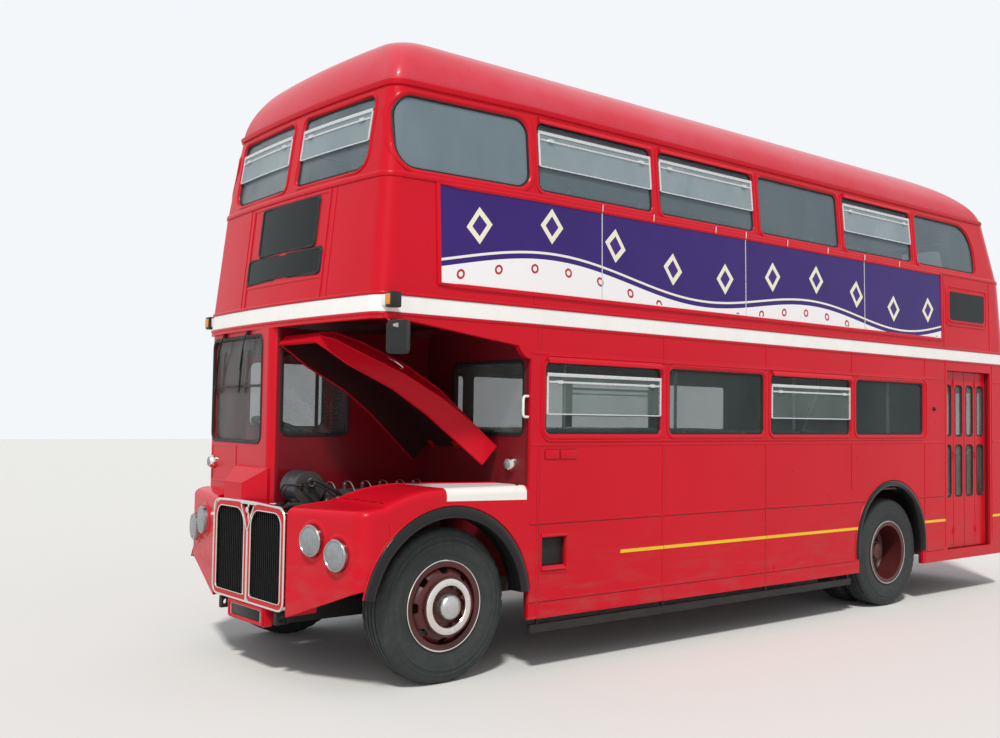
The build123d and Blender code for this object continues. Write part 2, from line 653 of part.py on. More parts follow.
def wing_block(inset):
    drop = 0 if inset == 0 else 900
    with BuildPart() as b:
        with BuildSketch(side_plane(300)) as side:
            with BuildLine():
                ThreePointArc((at(-60), WING_TOP_Z - inset), (at(-320), 1232 - inset), (at(-545), 1155 - inset))
                Polyline(
                    (at(-545), 1155 - inset),
                    (at(-880), WING_NOSE_Z - inset),
                    (at(-880), 300 - drop),
                    (at(BULKHEAD_ST), 300 - drop),
                    (at(BULKHEAD_ST), WING_TOP_Z - inset),
                    (at(-60), WING_TOP_Z - inset),
                )
            make_face()
        extrude(amount=1000)
        with BuildSketch(Plane.XY.offset(-1000)) as top:
            with BuildLine():
                Polyline(
                    (WING_IN_X + inset, at(WING_FACE_IN_ST) + inset),
                    (HALF_WIDTH - inset, at(WING_FACE_OUT_ST) + inset),
                    (HALF_WIDTH - inset, at(BULKHEAD_ST)),
                    (WING_INNER_REAR_X + inset, at(BULKHEAD_ST)),
                    close=True,
                )
            make_face()
            fillet(top.vertices().sort_by_distance((HALF_WIDTH - inset, at(WING_FACE_OUT_ST) + inset, -1000))[0],
                   WING_CORNER_R - inset)
        extrude(amount=3000, mode=Mode.INTERSECT)
        with BuildSketch(front_plane(at(-900))) as face:
            with BuildLine():
                Polyline((WING_IN_X - 50, 405 - drop), (HALF_WIDTH + 10, 670 - drop), (HALF_WIDTH + 10, 2000),
                         (WING_IN_X - 50, 2000), close=True)
            make_face()
        extrude(amount=-3000, mode=Mode.INTERSECT)
        # the outer and front top edges are rounded
        top_edges = b.edges().filter_by(
            lambda e: e.center().Z > 1070 and abs(e.tangent_at(0.5).Z) < 0.6
            and (e.center().X > 1150 or e.center().Y < at(-700)))
        fillet(top_edges, WING_EDGE_R - inset)
    return b.part


with BuildPart() as wing_nearside:
    add(wing_block(0))
    add(wing_block(WING_SKIN), mode=Mode.SUBTRACT)
    # the inner side is a shallow valance above the tyre, full depth only beside the grille
    add(box_between(400, 1000, at(-640), at(BULKHEAD_ST) + 1, 200, VALANCE_Z), mode=Mode.SUBTRACT)
    add(wing_block(0), mode=Mode.INTERSECT)
    add(disc_x(FRONT_ARCH_Y, FRONT_ARCH_Z, FRONT_ARCH_R, 900, 1500), mode=Mode.SUBTRACT)
    add(box_between(900, 1500, FRONT_ARCH_Y - FRONT_ARCH_R, FRONT_ARCH_Y + 700, 0, FRONT_ARCH_Z),
        mode=Mode.SUBTRACT)

with BuildPart() as wing_offside:
    mirror(wing_nearside.part, about=Plane.YZ)
    # the cab stands on this wing: its top gives way to the cab floor
    add(cab_outer.part, mode=Mode.SUBTRACT)
    add(cab_shell.part, mode=Mode.SUBTRACT)
    add(box_between(-HALF_WIDTH + WING_SKIN + 1, 60, at(-600), at(BULKHEAD_ST) + 10, VALANCE_Z - 5, 1500),
        mode=Mode.SUBTRACT)

# Arch mouldings
with BuildPart() as arch_flares:
    for s in (1, -1):
        for y, z, r, w, low, back in (
            (FRONT_ARCH_Y, FRONT_ARCH_Z, FRONT_ARCH_R, FRONT_FLARE_W, 560, 590),
            (REAR_ARCH_Y, REAR_ARCH_Z, REAR_ARCH_R, REAR_FLARE_W, REAR_ARCH_Z - 90, 2000),
        ):
            with BuildSketch(side_plane(s * HALF_WIDTH)):
                with Locations((y, z)):
                    Circle(r + w)
                    Circle(r, mode=Mode.SUBTRACT)
                with Locations((y, low - 1000)):
                    Rectangle(4000, 2000, mode=Mode.SUBTRACT)
                with Locations((y - back - 1000, z)):
                    Rectangle(2000, 4000, mode=Mode.SUBTRACT)
            extrude(amount=s * FLARE_PROUD)


# Bonnet, modelled shut and then turned open about its rear hinge.
# Sections: station, lower edge, crease, top, width of the slanted facet
BONNET_SECTIONS = [
    (-790, 1100, 1150, 1186, 36),
    (-705, 1118, 1208, 1278, 80),
    (-530, 1150, 1270, 1378, 110),
    (-210, 1252, 1389, 1495, 120),
    (70, 1295, 1458, 1545, 110),
    (335, 1310, 1490, 1536, 90),
    (BONNET_HINGE_ST - 14, 1322, 1494, 1502, 60),
]
BONNET_IN_X = CAB_INNER_X + 7
BONNET_SIDE_GAP = 8


def wing_inner_x(station):
    t = (station - WING_FACE_IN_ST) / (BULKHEAD_ST - WING_FACE_IN_ST)
    return WING_IN_X + t * (WING_INNER_REAR_X - WING_IN_X)


def bonnet_section(section, inset, nose):
    station, low, crease, top, facet = section
    outer = wing_inner_x(station) - BONNET_SIDE_GAP - inset
    with BuildSketch(front_plane(at(station) + nose)) as s:
        with BuildLine():
            Polyline(
                (BONNET_IN_X + inset, low - 3 * inset),
                (BONNET_IN_X + inset, top - inset),
                (outer - facet, top - inset),
                (outer, crease - inset * 0.7),
                (outer, low - 3 * inset),
                close=True,
            )
        make_face()
    return s.sketch


def bonnet_block(inset):
    with BuildPart() as b:
        loft([bonnet_section(sec, inset, inset if k == 0 else 0) for k, sec in enumerate(BONNET_SECTIONS)],
             ruled=True)
    return b.part


BONNET_BARREL_R = 9
bonnet_axis = Axis((0, at(BONNET_HINGE_ST), BONNET_HINGE_Z), (1, 0, 0))

with BuildPart() as bonnet_shut:
    add(bonnet_block(0))
    add(bonnet_block(BONNET_SKIN), mode=Mode.SUBTRACT)
    for x in (120, 420, 720):
        add(rod((x, at(BONNET_HINGE_ST), BONNET_HINGE_Z), (x + 60, at(BONNET_HINGE_ST), BONNET_HINGE_Z),
                BONNET_BARREL_R))
        add(box_between(x, x + 60, at(BONNET_HINGE_ST) - 60, at(BONNET_HINGE_ST), BONNET_HINGE_Z - 9,
                        BONNET_HINGE_Z - 1))

with BuildPart() as bonnet:
    add(bonnet_shut.part.rotate(bonnet_axis, -BONNET_OPEN))

# hinge brackets on the bulkhead that hold the bonnet's barrels
with BuildPart() as bonnet_hinges:
    for x in (120, 420, 720):
        for x0, x1 in ((x - 20 - CLEAR, x - CLEAR), (x + 60 + CLEAR, x + 80 + CLEAR)):
            add(rod((x0, at(BONNET_HINGE_ST), BONNET_HINGE_Z), (x1, at(BONNET_HINGE_ST), BONNET_HINGE_Z),
                    BONNET_BARREL_R))
            add(box_between(x0, x1, at(BONNET_HINGE_ST), at(BULKHEAD_ST), BONNET_HINGE_Z - BONNET_BARREL_R,
                            BONNET_HINGE_Z + BONNET_BARREL_R))

with BuildPart() as bulkhead_with_hinges:
    add(front_bulkhead.part)
    add(bonnet_hinges.part)

# Radiator grille
GRILLE_BAR = 22
SLAT_PITCH = 28
SLAT_W = 7
V_HALF = 100
V_DROP = 170


def grille_outline(inset):
    with BuildSketch() as s:
        with BuildLine():
            l = Line((-GRILLE_HALF_W + inset, GRILLE_BOTTOM_Z + inset), (GRILLE_HALF_W - inset, GRILLE_BOTTOM_Z + inset))
            l2 = Line(l @ 1, (GRILLE_HALF_W - inset, GRILLE_TOP_Z - inset))
            l3 = ThreePointArc(l2 @ 1, (0, GRILLE_TOP_Z + 13 - inset), (-GRILLE_HALF_W + inset, GRILLE_TOP_Z - inset))
            l4 = Line(l3 @ 1, l @ 0)
        make_face()
        fillet(s.vertices(), 75 - inset)
    return s.sketch


with BuildPart() as grille_surround:
    extrude(front_plane(at(GRILLE_FACE_ST)) * grille_outline(0), amount=-GRILLE_DEPTH)
    extrude(front_plane(at(GRILLE_FACE_ST)) * grille_outline(GRILLE_TUBE), amount=-GRILLE_DEPTH, mode=Mode.SUBTRACT)
    with BuildSketch(front_plane(at(GRILLE_FACE_ST) + 2)) as bars:
        with Locations((0, (GRILLE_BOTTOM_Z + GRILLE_TOP_Z) / 2)):
            Rectangle(GRILLE_BAR, GRILLE_TOP_Z - GRILLE_BOTTOM_Z)
        for s in (1, -1):
            with BuildLine():
                Polyline((0, GRILLE_TOP_Z - V_DROP - 16), (0, GRILLE_TOP_Z - V_DROP + 16),
                         (s * V_HALF, GRILLE_TOP_Z + 2), (s * (V_HALF + 20), GRILLE_TOP_Z + 2), close=True)
            make_face()
    extrude(amount=-24)

with BuildPart() as grille:
    half = GRILLE_HALF_W - GRILLE_TUBE
    n = int((half - GRILLE_BAR / 2) / SLAT_PITCH)
    for s in (1, -1):
        for k in range(n):
            x = s * (GRILLE_BAR / 2 + (k + 0.6) * SLAT_PITCH)
            add(box_between(x - SLAT_W / 2, x + SLAT_W / 2, at(GRILLE_FACE_ST) + 14, at(GRILLE_FACE_ST) + 30,
                            GRILLE_BOTTOM_Z, GRILLE_TOP_Z + 20))
    for z in (GRILLE_BOTTOM_Z + 120, (GRILLE_BOTTOM_Z + GRILLE_TOP_Z) / 2, GRILLE_TOP_Z - 120):
        add(box_between(-GRILLE_HALF_W, GRILLE_HALF_W, at(GRILLE_FACE_ST) + 26, at(GRILLE_FACE_ST) + 34, z - 5, z + 5))
    extrude(front_plane(at(GRILLE_FACE_ST)) * grille_outline(GRILLE_TUBE), amount=-GRILLE_DEPTH, mode=Mode.INTERSECT)
    add(grille_surround.part, mode=Mode.SUBTRACT)

PLATE_BOX_HALF = 270
with BuildPart() as number_plate_box:
    add(box_between(-PLATE_BOX_HALF, PLATE_BOX_HALF, at(GRILLE_FACE_ST) + 4, at(GRILLE_FACE_ST) + 60, 318,
                    GRILLE_BOTTOM_Z))
    chamfer(number_plate_box.edges().filter_by(Axis.Y).group_by(Axis.Z)[0], 18)


# Lamps on the wings, cab and bulkhead: position, direction outwards, radius, depth
def lamp(p, d, r, depth):
    with BuildPart() as b:
        with BuildSketch(Plane(origin=p, z_dir=d)):
            Circle(r)
        extrude(amount=depth * 0.6)
        with BuildSketch(Plane(origin=Vector(*p) + Vector(*d).normalized() * depth * 0.6, z_dir=d)):
            Circle(r * 0.92)
        extrude(amount=depth * 0.4, taper=30)
    return b.part


HEADLAMPS = ((784, 930), (1012, 860))
HEADLAMP_R = 100
face_run = Vector(HALF_WIDTH - WING_IN_X, WING_FACE_OUT_ST - WING_FACE_IN_ST, 0).normalized()
FACE_OUT = (face_run.Y, -face_run.X, 0)


def wing_face_point(x, z):
    t = (x - WING_IN_X) / (HALF_WIDTH - WING_IN_X)
    return (x, at(WING_FACE_IN_ST) + t * (WING_FACE_OUT_ST - WING_FACE_IN_ST), z)


with BuildPart() as lamps:
    for x, z in HEADLAMPS:
        px, py, pz = wing_face_point(x, z)
        add(lamp((px, py, pz), FACE_OUT, HEADLAMP_R, 34))
        add(lamp((-px, py, pz), (-FACE_OUT[0], FACE_OUT[1], 0), HEADLAMP_R, 34))
    add(lamp((1030, at(BULKHEAD_ST), 1390), (0, -1, 0), 36, 42))
    cab_run = Vector(CAB_INNER_X + HALF_WIDTH, CAB_FRONT_INNER_ST - CAB_FRONT_OUTER_ST, 0)
    y_here = at(CAB_FRONT_OUTER_ST) + cab_run.Y * (HALF_WIDTH - 1050) / cab_run.X
    add(lamp((-1050, y_here, 1340), (cab_run.Y, -cab_run.X, 0), 36, 42))
    # rear lamps, two each side
    for s in (1, -1):
        for z in (980, 1120):
            add(lamp((s * 820, at(REAR_WALL_ST), z), (0, 1, 0), 48, REAR_LAMP_PROUD))

# Engine, open to view beside the cab
ENGINE_X = (-110, 380)
ENGINE_ST = (-470, 480)
with BuildPart() as engine:
    add(box_between(ENGINE_X[0], ENGINE_X[1], at(ENGINE_ST[0]), at(ENGINE_ST[1]), 430, 1000))
    add(box_between(70, 390, at(-450), at(460), 1000, 1110))
    with BuildSketch(front_plane(at(-420))):
        with BuildLine():
            Polyline((100, 1110), (100, 1165), (125, 1190), (245, 1190), (270, 1165), (270, 1110), close=True)
        make_face()
    extrude(amount=-850)
    # exhaust manifold and its six branches
    add(rod((445, at(-380), 1050), (445, at(420), 1050), 38))
    for k in range(6):
        add(rod((380, at(-360 + k * 150), 1050), (445, at(-360 + k * 150), 1050), 26))
    # six injectors and the fuel rail
    for k in range(6):
        add(rod((185, at(-350 + k * 145), 1185), (185, at(-350 + k * 145), 1225), 14))
    add(rod((320, at(-400), 1138), (320, at(400), 1138), 12))
    for k in range(6):
        add(rod((320, at(-350 + k * 145), 1105), (320, at(-350 + k * 145), 1140), 10))
    # air filter drum at the front end
    add(rod((95, at(-545), 1215), (300, at(-545), 1215), 112))
    add(box_between(150, 250, at(-560), at(-430), 1060, 1215))

SUBFRAME_TOP_Z = 480
with BuildPart() as radiator:
    add(box_between(-430, 430, at(-775), at(-700), SUBFRAME_TOP_Z + 40, 1040))
    add(box_between(-400, 400, at(-790), at(-690), 1040, 1080))
    add(box_between(-430, 430, at(-790), at(-690), SUBFRAME_TOP_Z, SUBFRAME_TOP_Z + 40))

# Underframe
RAIL_X = 420
RAIL_W = 60
EYE_R = 46
KINGPIN_R = 27
WISHBONE_ZS = ((330, 372), (618, 655))

with BuildPart() as front_subframe:
    for s in (1, -1):
        add(box_between(s * (RAIL_X - RAIL_W / 2), s * (RAIL_X + RAIL_W / 2), at(-770), at(BULKHEAD_ST) + BULKHEAD_T,
                        370, SUBFRAME_TOP_Z))
        add(box_between(s * (RAIL_X - RAIL_W / 2), s * (RAIL_X + RAIL_W / 2), at(BULKHEAD_ST),
                        at(BULKHEAD_ST) + BULKHEAD_T, SUBFRAME_TOP_Z, BULKHEAD_FOOT_Z))
        add(box_between(s * (RAIL_X - RAIL_W / 2), s * (RAIL_X + RAIL_W / 2), at(-110), at(110), SUBFRAME_TOP_Z, 655))
        for z0, z1 in WISHBONE_ZS:
            with BuildSketch(Plane.XY.offset(z0)):
                with BuildLine():
                    Polyline((s * (RAIL_X + 20), at(-190)), (s * (RAIL_X + 20), at(190)), (s * KINGPIN_X, at(38)),
                             (s * KINGPIN_X, at(-38)), close=True)
                make_face()
            extrude(amount=z1 - z0)
            add(rod((s * KINGPIN_X, at(0), z0), (s * KINGPIN_X, at(0), z1), EYE_R))
            add(rod((s * KINGPIN_X, at(0), z0 - 1), (s * KINGPIN_X, at(0), z1 + 1), KINGPIN_R + PIN_CLEAR),
                mode=Mode.SUBTRACT)
    add(box_between(-RAIL_X, RAIL_X, at(-60), at(60), 345, 425))
    add(box_between(-RAIL_X, RAIL_X, at(-770), at(-700), 370, 430))
    # two towing eyes ahead of the crossmember
    for s in (1, -1):
        with Locations((s * (RAIL_X - 20), at(-790), 395)):
            Box(36, 90, 80)
        add(rod((s * (RAIL_X - 50), at(-800), 395), (s * (RAIL_X + 20), at(-800), 395), 20), mode=Mode.SUBTRACT)
    # pads of the lower wishbones under the upper ones
    for s in (1, -1):
        add(box_between(s * (RAIL_X + 20), s * (RAIL_X + 60), at(-190), at(-120), 372, 618))
        add(box_between(s * (RAIL_X + 20), s * (RAIL_X + 60), at(120), at(190), 372, 618))


def knuckle(s):
    with BuildPart() as b:
        add(rod((s * KINGPIN_X, at(0), WISHBONE_ZS[0][0] - 8), (s * KINGPIN_X, at(0), WISHBONE_ZS[1][1] + 8), KINGPIN_R))
        add(rod((s * KINGPIN_X, at(0), WISHBONE_ZS[0][1] + CLEAR), (s * KINGPIN_X, at(0), WISHBONE_ZS[1][0] - CLEAR),
                EYE_R))
        add(rod((s * KINGPIN_X, at(0), AXLE_Z), (s * (FRONT_WHEEL_X + 88), at(0), AXLE_Z), SPINDLE_R))
        add(box_between(s * (KINGPIN_X - 30), s * (KINGPIN_X + 10), at(20), at(170), AXLE_Z - 70, AXLE_Z - 40))
    return b.part


with BuildPart() as knuckle_nearside:
    add(knuckle(1))
with BuildPart() as knuckle_offside:
    add(knuckle(-1))


# Wheels and tyres, turned profiles: distance out from the wheel's middle, radius
def turned(profiles, s, x, y):
    with BuildPart() as b:
        for pts in profiles:
            with BuildSketch(Plane(origin=(s * x, y, AXLE_Z), x_dir=(s, 0, 0), z_dir=(0, -s, 0))):
                with BuildLine():
                    Polyline(*pts, close=True)
                make_face()
            revolve(axis=Axis((s * x, y, AXLE_Z), (1, 0, 0)), revolution_arc=360)
    return b.part


HALF_TYRE = TYRE_W / 2
TYRE_PROFILE = [
    (-97, BEAD_R), (-98, RIM_R + 10), (-HALF_TYRE, 370), (-HALF_TYRE + 18, 478), (-82, TYRE_R),
    (82, TYRE_R), (HALF_TYRE - 18, 478), (HALF_TYRE, 370), (98, RIM_R + 10), (97, BEAD_R),
]
RIM_PROFILE = [
    (-110, RIM_R), (-100, RIM_R), (-98, BEAD_R - CLEAR), (98, BEAD_R - CLEAR), (100, RIM_R), (110, RIM_R),
    (110, RIM_R - 12), (106, BEAD_R - 14), (-106, BEAD_R - 14), (-110, RIM_R - 12),
]
FRONT_DISC = [
    (56, BEAD_R - 8), (66, BEAD_R - 8), (108, 214), (124, 178), (124, HUB_R - 10), (112, HUB_R - 10), (112, 172), (98, 206),
    (56, BEAD_R - 20),
]
FRONT_HUB = [(-95, SPINDLE_R + 1), (-95, 80), (112, HUB_R), (124, HUB_R), (124, SPINDLE_R + 1)]
FRONT_CAP = [(96, 0), (96, SPINDLE_R + 20), (124, 72), (150, 72), (166, 58), (178, 30), (180, 0)]
DRUM = [(-98, 172), (-98, 188), (54, 188), (54, 84), (44, 84), (44, 172)]
RING_PROFILE = [(150, 172), (150, 190), (160, 188), (160, 174)]


def front_wheel(s):
    with BuildPart() as b:
        add(turned([RIM_PROFILE, FRONT_DISC, FRONT_HUB, FRONT_CAP, DRUM, RING_PROFILE], s, FRONT_WHEEL_X, at(0)))
        hub = Plane(origin=(s * (FRONT_WHEEL_X + 118), at(0), AXLE_Z), x_dir=(0, 1, 0), z_dir=(s, 0, 0))
        with BuildSketch(hub):
            with PolarLocations(181, WHEEL_BOLT_COUNT):
                Circle(7)
        extrude(amount=34)
        with BuildSketch(hub):
            with PolarLocations(130, WHEEL_BOLT_COUNT, start_angle=22.5):
                RegularPolygon(17, 6)
        extrude(amount=34)
        with BuildSketch(hub.offset(-70)):
            with PolarLocations(222, HAND_HOLE_COUNT):
                SlotOverall(66, 38, rotation=90)
        extrude(amount=120, mode=Mode.SUBTRACT)
    return b.part


def tyre(s, x, y):
    return turned([TYRE_PROFILE], s, x, y)


with BuildPart() as wheel_front_nearside:
    add(front_wheel(1))
with BuildPart() as wheel_front_offside:
    add(front_wheel(-1))
with BuildPart() as tyre_front_nearside:
    add(tyre(1, FRONT_WHEEL_X, at(0)))
with BuildPart() as tyre_front_offside:
    add(tyre(-1, FRONT_WHEEL_X, at(0)))

REAR_SPINDLE_R = 46
half_twin = TWIN_SPACING / 2


def shifted(profile, dx):
    return [(x + dx, r) for x, r in profile]


REAR_DISC_OUTER = [
    (half_twin - 100, BEAD_R - 8), (half_twin - 88, BEAD_R - 8), (24, 228), (14, 205), (14, 120), (2, 120), (2, 210),
    (12, 238),
]
REAR_DISC_INNER = [(-x, r) for x, r in REAR_DISC_OUTER]
REAR_HUB = [
    (-250, REAR_SPINDLE_R + 1), (-250, 110), (-40, 130), (40, 130), (60, 105), (120, 96), (132, 84), (132, REAR_SPINDLE_R + 1),
]
REAR_CAP = [(134, 0), (128, REAR_SPINDLE_R + 10), (140, 76), (150, 70), (158, 0)]
REAR_DRUM = [(-262, 192), (-262, 206), (-60, 206), (-60, 110), (-74, 110), (-74, 192)]


def rear_wheels(s):
    with BuildPart() as b:
        add(turned([shifted(RIM_PROFILE, half_twin), shifted(RIM_PROFILE, -half_twin), REAR_DISC_OUTER,
                    REAR_DISC_INNER, REAR_HUB, REAR_CAP, REAR_DRUM], s, TWIN_MID_X, REAR_AXLE_Y))
        hub = Plane(origin=(s * (TWIN_MID_X + 10), REAR_AXLE_Y, AXLE_Z), x_dir=(0, 1, 0), z_dir=(s, 0, 0))
        with BuildSketch(hub):
            with PolarLocations(165, WHEEL_BOLT_COUNT):
                RegularPolygon(19, 6)
        extrude(amount=34)
        with BuildSketch(hub.offset(-60)):
            with PolarLocations(208, HAND_HOLE_COUNT, start_angle=22.5):
                SlotOverall(60, 26, rotation=90)
        extrude(amount=110, mode=Mode.SUBTRACT)
    return b.part


def twin_tyres(s):
    with BuildPart() as b:
        add(tyre(s, TWIN_MID_X + half_twin, REAR_AXLE_Y))
        add(tyre(s, TWIN_MID_X - half_twin, REAR_AXLE_Y))
    return b.part


with BuildPart() as wheels_rear_nearside:
    add(rear_wheels(1))
with BuildPart() as wheels_rear_offside:
    add(rear_wheels(-1))
with BuildPart() as tyres_rear_nearside:
    add(twin_tyres(1))
with BuildPart() as tyres_rear_offside:
    add(twin_tyres(-1))

REAR_SPRING_X = 500
DIFF_R = 145
AXLE_TUBE_R = 72
with BuildPart() as rear_axle:
    add(rod((-(TWIN_MID_X + 126), REAR_AXLE_Y, AXLE_Z), (TWIN_MID_X + 126, REAR_AXLE_Y, AXLE_Z), REAR_SPINDLE_R))
    add(rod((-620, REAR_AXLE_Y, AXLE_Z), (620, REAR_AXLE_Y, AXLE_Z), AXLE_TUBE_R))
    with Locations((0, REAR_AXLE_Y, AXLE_Z)):
        Cylinder(DIFF_R, 190, rotation=(0, 90, 0))
    # radius arms and the coil spring towers that carry the floor
    for s in (1, -1):
        add(box_between(s * (REAR_SPRING_X - 35), s * (REAR_SPRING_X + 35), REAR_AXLE_Y - 780, REAR_AXLE_Y + 820,
                        AXLE_Z - 120, AXLE_Z - 50))
        for dy in (-620, 700):
            add(rod((s * (REAR_SPRING_X - 20), REAR_AXLE_Y + dy, AXLE_Z - 50),
                    (s * (REAR_SPRING_X - 20), REAR_AXLE_Y + dy, FLOOR_Z - FLOOR_T), 55))
    with Locations((0, REAR_AXLE_Y + 200, AXLE_Z - 85)):
        Box(2 * REAR_SPRING_X, 60, 60)

GEARBOX_ST = (1500, 2250)
with BuildPart() as transmission:
    add(box_between(-190, 190, at(GEARBOX_ST[0]), at(GEARBOX_ST[1]), 380, FLOOR_Z - FLOOR_T))
    add(rod((0, at(ENGINE_ST[1]), 520), (0, at(GEARBOX_ST[0]), 520), 42))
    add(rod((0, at(GEARBOX_ST[1]), AXLE_Z), (0, REAR_AXLE_Y - DIFF_R - CLEAR, AXLE_Z), 42))

with BuildPart() as fuel_tank:
    with Locations((-905, at(2600), 520)):
        Box(380, 1150, 2 * (FLOOR_Z - FLOOR_T - 520))
    fillet(fuel_tank.edges().filter_by(Axis.Y), 35)

with BuildPart() as exhaust:
    add(rod((560, at(900), 520), (560, at(1900), 520), 85))
    add(rod((560, at(1900), 520), (560, at(3300), 520), 26))
    for y in (1000, 1800, 3100):
        add(box_between(545, 575, at(y), at(y + 40), 520, FLOOR_Z - FLOOR_T))

# Life-guard rails under the skirts
with BuildPart() as side_rails:
    for s in (1, -1):
        add(box_between(s * 1168, s * 1196, at(640), at(4440), 262, 318))
        for y in (700, 1950, 3200, 4390):
            add(box_between(s * 1172, s * 1190, at(y), at(y + 26), 318, SKIRT_Z))

# Mirrors: one hung from the canopy's corner, one beside the cab; each head faces rearwards and inwards
MIRROR_X = 1323
MIRROR_TURN = 33
MIRROR_HEAD = (170, 20, 215)
with BuildPart() as mirrors:
    for s, station, z, foot in ((1, -550, 2180, (1160, -560, 2330)), (-1, -450, 2000, (1205, -430, 2070))):
        with Locations(Location((s * MIRROR_X, at(station), z), (0, 0, s * MIRROR_TURN))):
            Box(*MIRROR_HEAD)
        hold = (s * MIRROR_X, at(station), z + 70)
        add(rod(hold, (s * (MIRROR_X - 60), at(station) - 10, z + 70), 9))
        add(rod((s * (MIRROR_X - 52), at(station) - 10, z + 70), (s * foot[0], at(foot[1]), foot[2]), 9))
    add(cab_shell.part, mode=Mode.SUBTRACT)
    add(upper_front.part, mode=Mode.SUBTRACT)
    add(upper_side_nearside.part, mode=Mode.SUBTRACT)
    add(upper_side_offside.part, mode=Mode.SUBTRACT)

# Steering column and wheel
COLUMN_TILT = 22
COLUMN_FOOT = (-600, at(-420), CAB_FLOOR_Z)
COLUMN_LEN = 470
COLUMN_R = 26
STEER_RIM_R = 265
column_dir = Vector(0, sin(radians(COLUMN_TILT)), cos(radians(COLUMN_TILT)))
column_top = Vector(*COLUMN_FOOT) + column_dir * COLUMN_LEN

with BuildPart() as steering_column:
    add(rod(Vector(*COLUMN_FOOT) - column_dir * 20, column_top, COLUMN_R))
    add(box_between(-700, -500, at(-520), at(-300), CAB_FLOOR_Z - 60, CAB_FLOOR_Z), mode=Mode.SUBTRACT)

wheel_plane = Plane(origin=column_top + column_dir * CLEAR, x_dir=(1, 0, 0), z_dir=column_dir)
with BuildPart() as steering_wheel:
    with BuildSketch(wheel_plane):
        Circle(45)
    extrude(amount=36)
    with BuildSketch(wheel_plane.offset(8)):
        for a in (0, 120, 240):
            with Locations(Rotation(0, 0, a + 30) * Location((STEER_RIM_R / 2, 0, 0))):
                Rectangle(STEER_RIM_R, 26)
    extrude(amount=12)
    with BuildSketch(wheel_plane.offset(14)):
        Circle(STEER_RIM_R + 13)
        Circle(STEER_RIM_R - 13, mode=Mode.SUBTRACT)
    extrude(amount=13, both=True)
    fillet(steering_wheel.edges().filter_by(GeomType.CIRCLE).sort_by(SortBy.LENGTH)[-2:], 10)


# Seats
def seat(x0, x1, y, floor, length=430):
    with BuildPart() as b:
        with BuildSketch(side_plane(min(x0, x1))):
            with BuildLine():
                Polyline((y, floor + 340), (y, floor + 430), (y + length - 40, floor + 415),
                         (y + length + 20, floor + 900), (y + length + 75, floor + 900),
                         (y + length + 30, floor + 340), close=True)
            make_face()
        extrude(amount=abs(x1 - x0))
        for x in (min(x0, x1) + 60, max(x0, x1) - 110):
            add(box_between(x, x + 50, y + 90, y + 330, floor, floor + 345))
    return b.part


SEAT_IN_X = 250
SEAT_OUT_X = 1140
LOWER_SEATS = [(1050 + 730 * k) for k in range(5)]
UPPER_SEATS = [(-150 + 740 * k) for k in range(8)]
BENCH_X = 660


def seat_row(s, stations, floor):
    with BuildPart() as b:
        for st in stations:
            add(seat(s * SEAT_IN_X, s * (SEAT_OUT_X if floor == FLOOR_Z else SEAT_OUT_X - 60), at(st), floor))
    return b.part


def wheel_bench(s):
    y0 = REAR_AXLE_Y - WHEEL_BOX_HALF_L + 60
    y1 = REAR_AXLE_Y + WHEEL_BOX_HALF_L - 30
    with BuildPart() as b:
        add(box_between(s * BENCH_X, s * 1150, y0, y1, WHEEL_BOX_TOP, WHEEL_BOX_TOP + 90))
        add(box_between(s * 1080, s * 1150, y0, y1, WHEEL_BOX_TOP + 90, WHEEL_BOX_TOP + 480))
    return b.part


with BuildPart() as seats_lower_nearside:
    add(seat_row(1, LOWER_SEATS, FLOOR_Z))
    add(wheel_bench(1))
with BuildPart() as seats_lower_offside:
    add(seat_row(-1, LOWER_SEATS, FLOOR_Z))
    add(wheel_bench(-1))
with BuildPart() as seats_upper_nearside:
    add(seat_row(1, UPPER_SEATS, UPPER_FLOOR_Z))
with BuildPart() as seats_upper_offside:
    add(seat_row(-1, UPPER_SEATS, UPPER_FLOOR_Z))
with BuildPart() as driver_seat:
    with BuildSketch(side_plane(-830)):
        with BuildLine():
            Polyline((at(-40), 1290), (at(-40), 1370), (at(380), 1355), (at(430), 1860), (at(490), 1860),
                     (at(440), 1290), close=True)
        make_face()
    extrude(amount=450)
    add(box_between(-760, -450, at(60), at(350), CAB_FLOOR_Z, 1295))

# Entrance doors: four leaves folding in two pairs, modelled shut
HINGE_PROUD = 5
KNUCKLE_R = 6
KNUCKLE_L = 34
KNUCKLE_ZS = (600, 1350, 2080)
LEAF_EDGE = 38
LEAF_LOWER_GLASS = (978, 1493)
LEAF_UPPER_GLASS = (1586, 2097)
PAIR_MIDDLE_Y = (DOOR_Y0 + DOOR_Y1) / 2
HINGE_Y = DOOR_Y0 + JAMB_GAP + LEAF_W + LEAF_GAP / 2
HINGE_X = LEAF_OUT_X + HINGE_PROUD


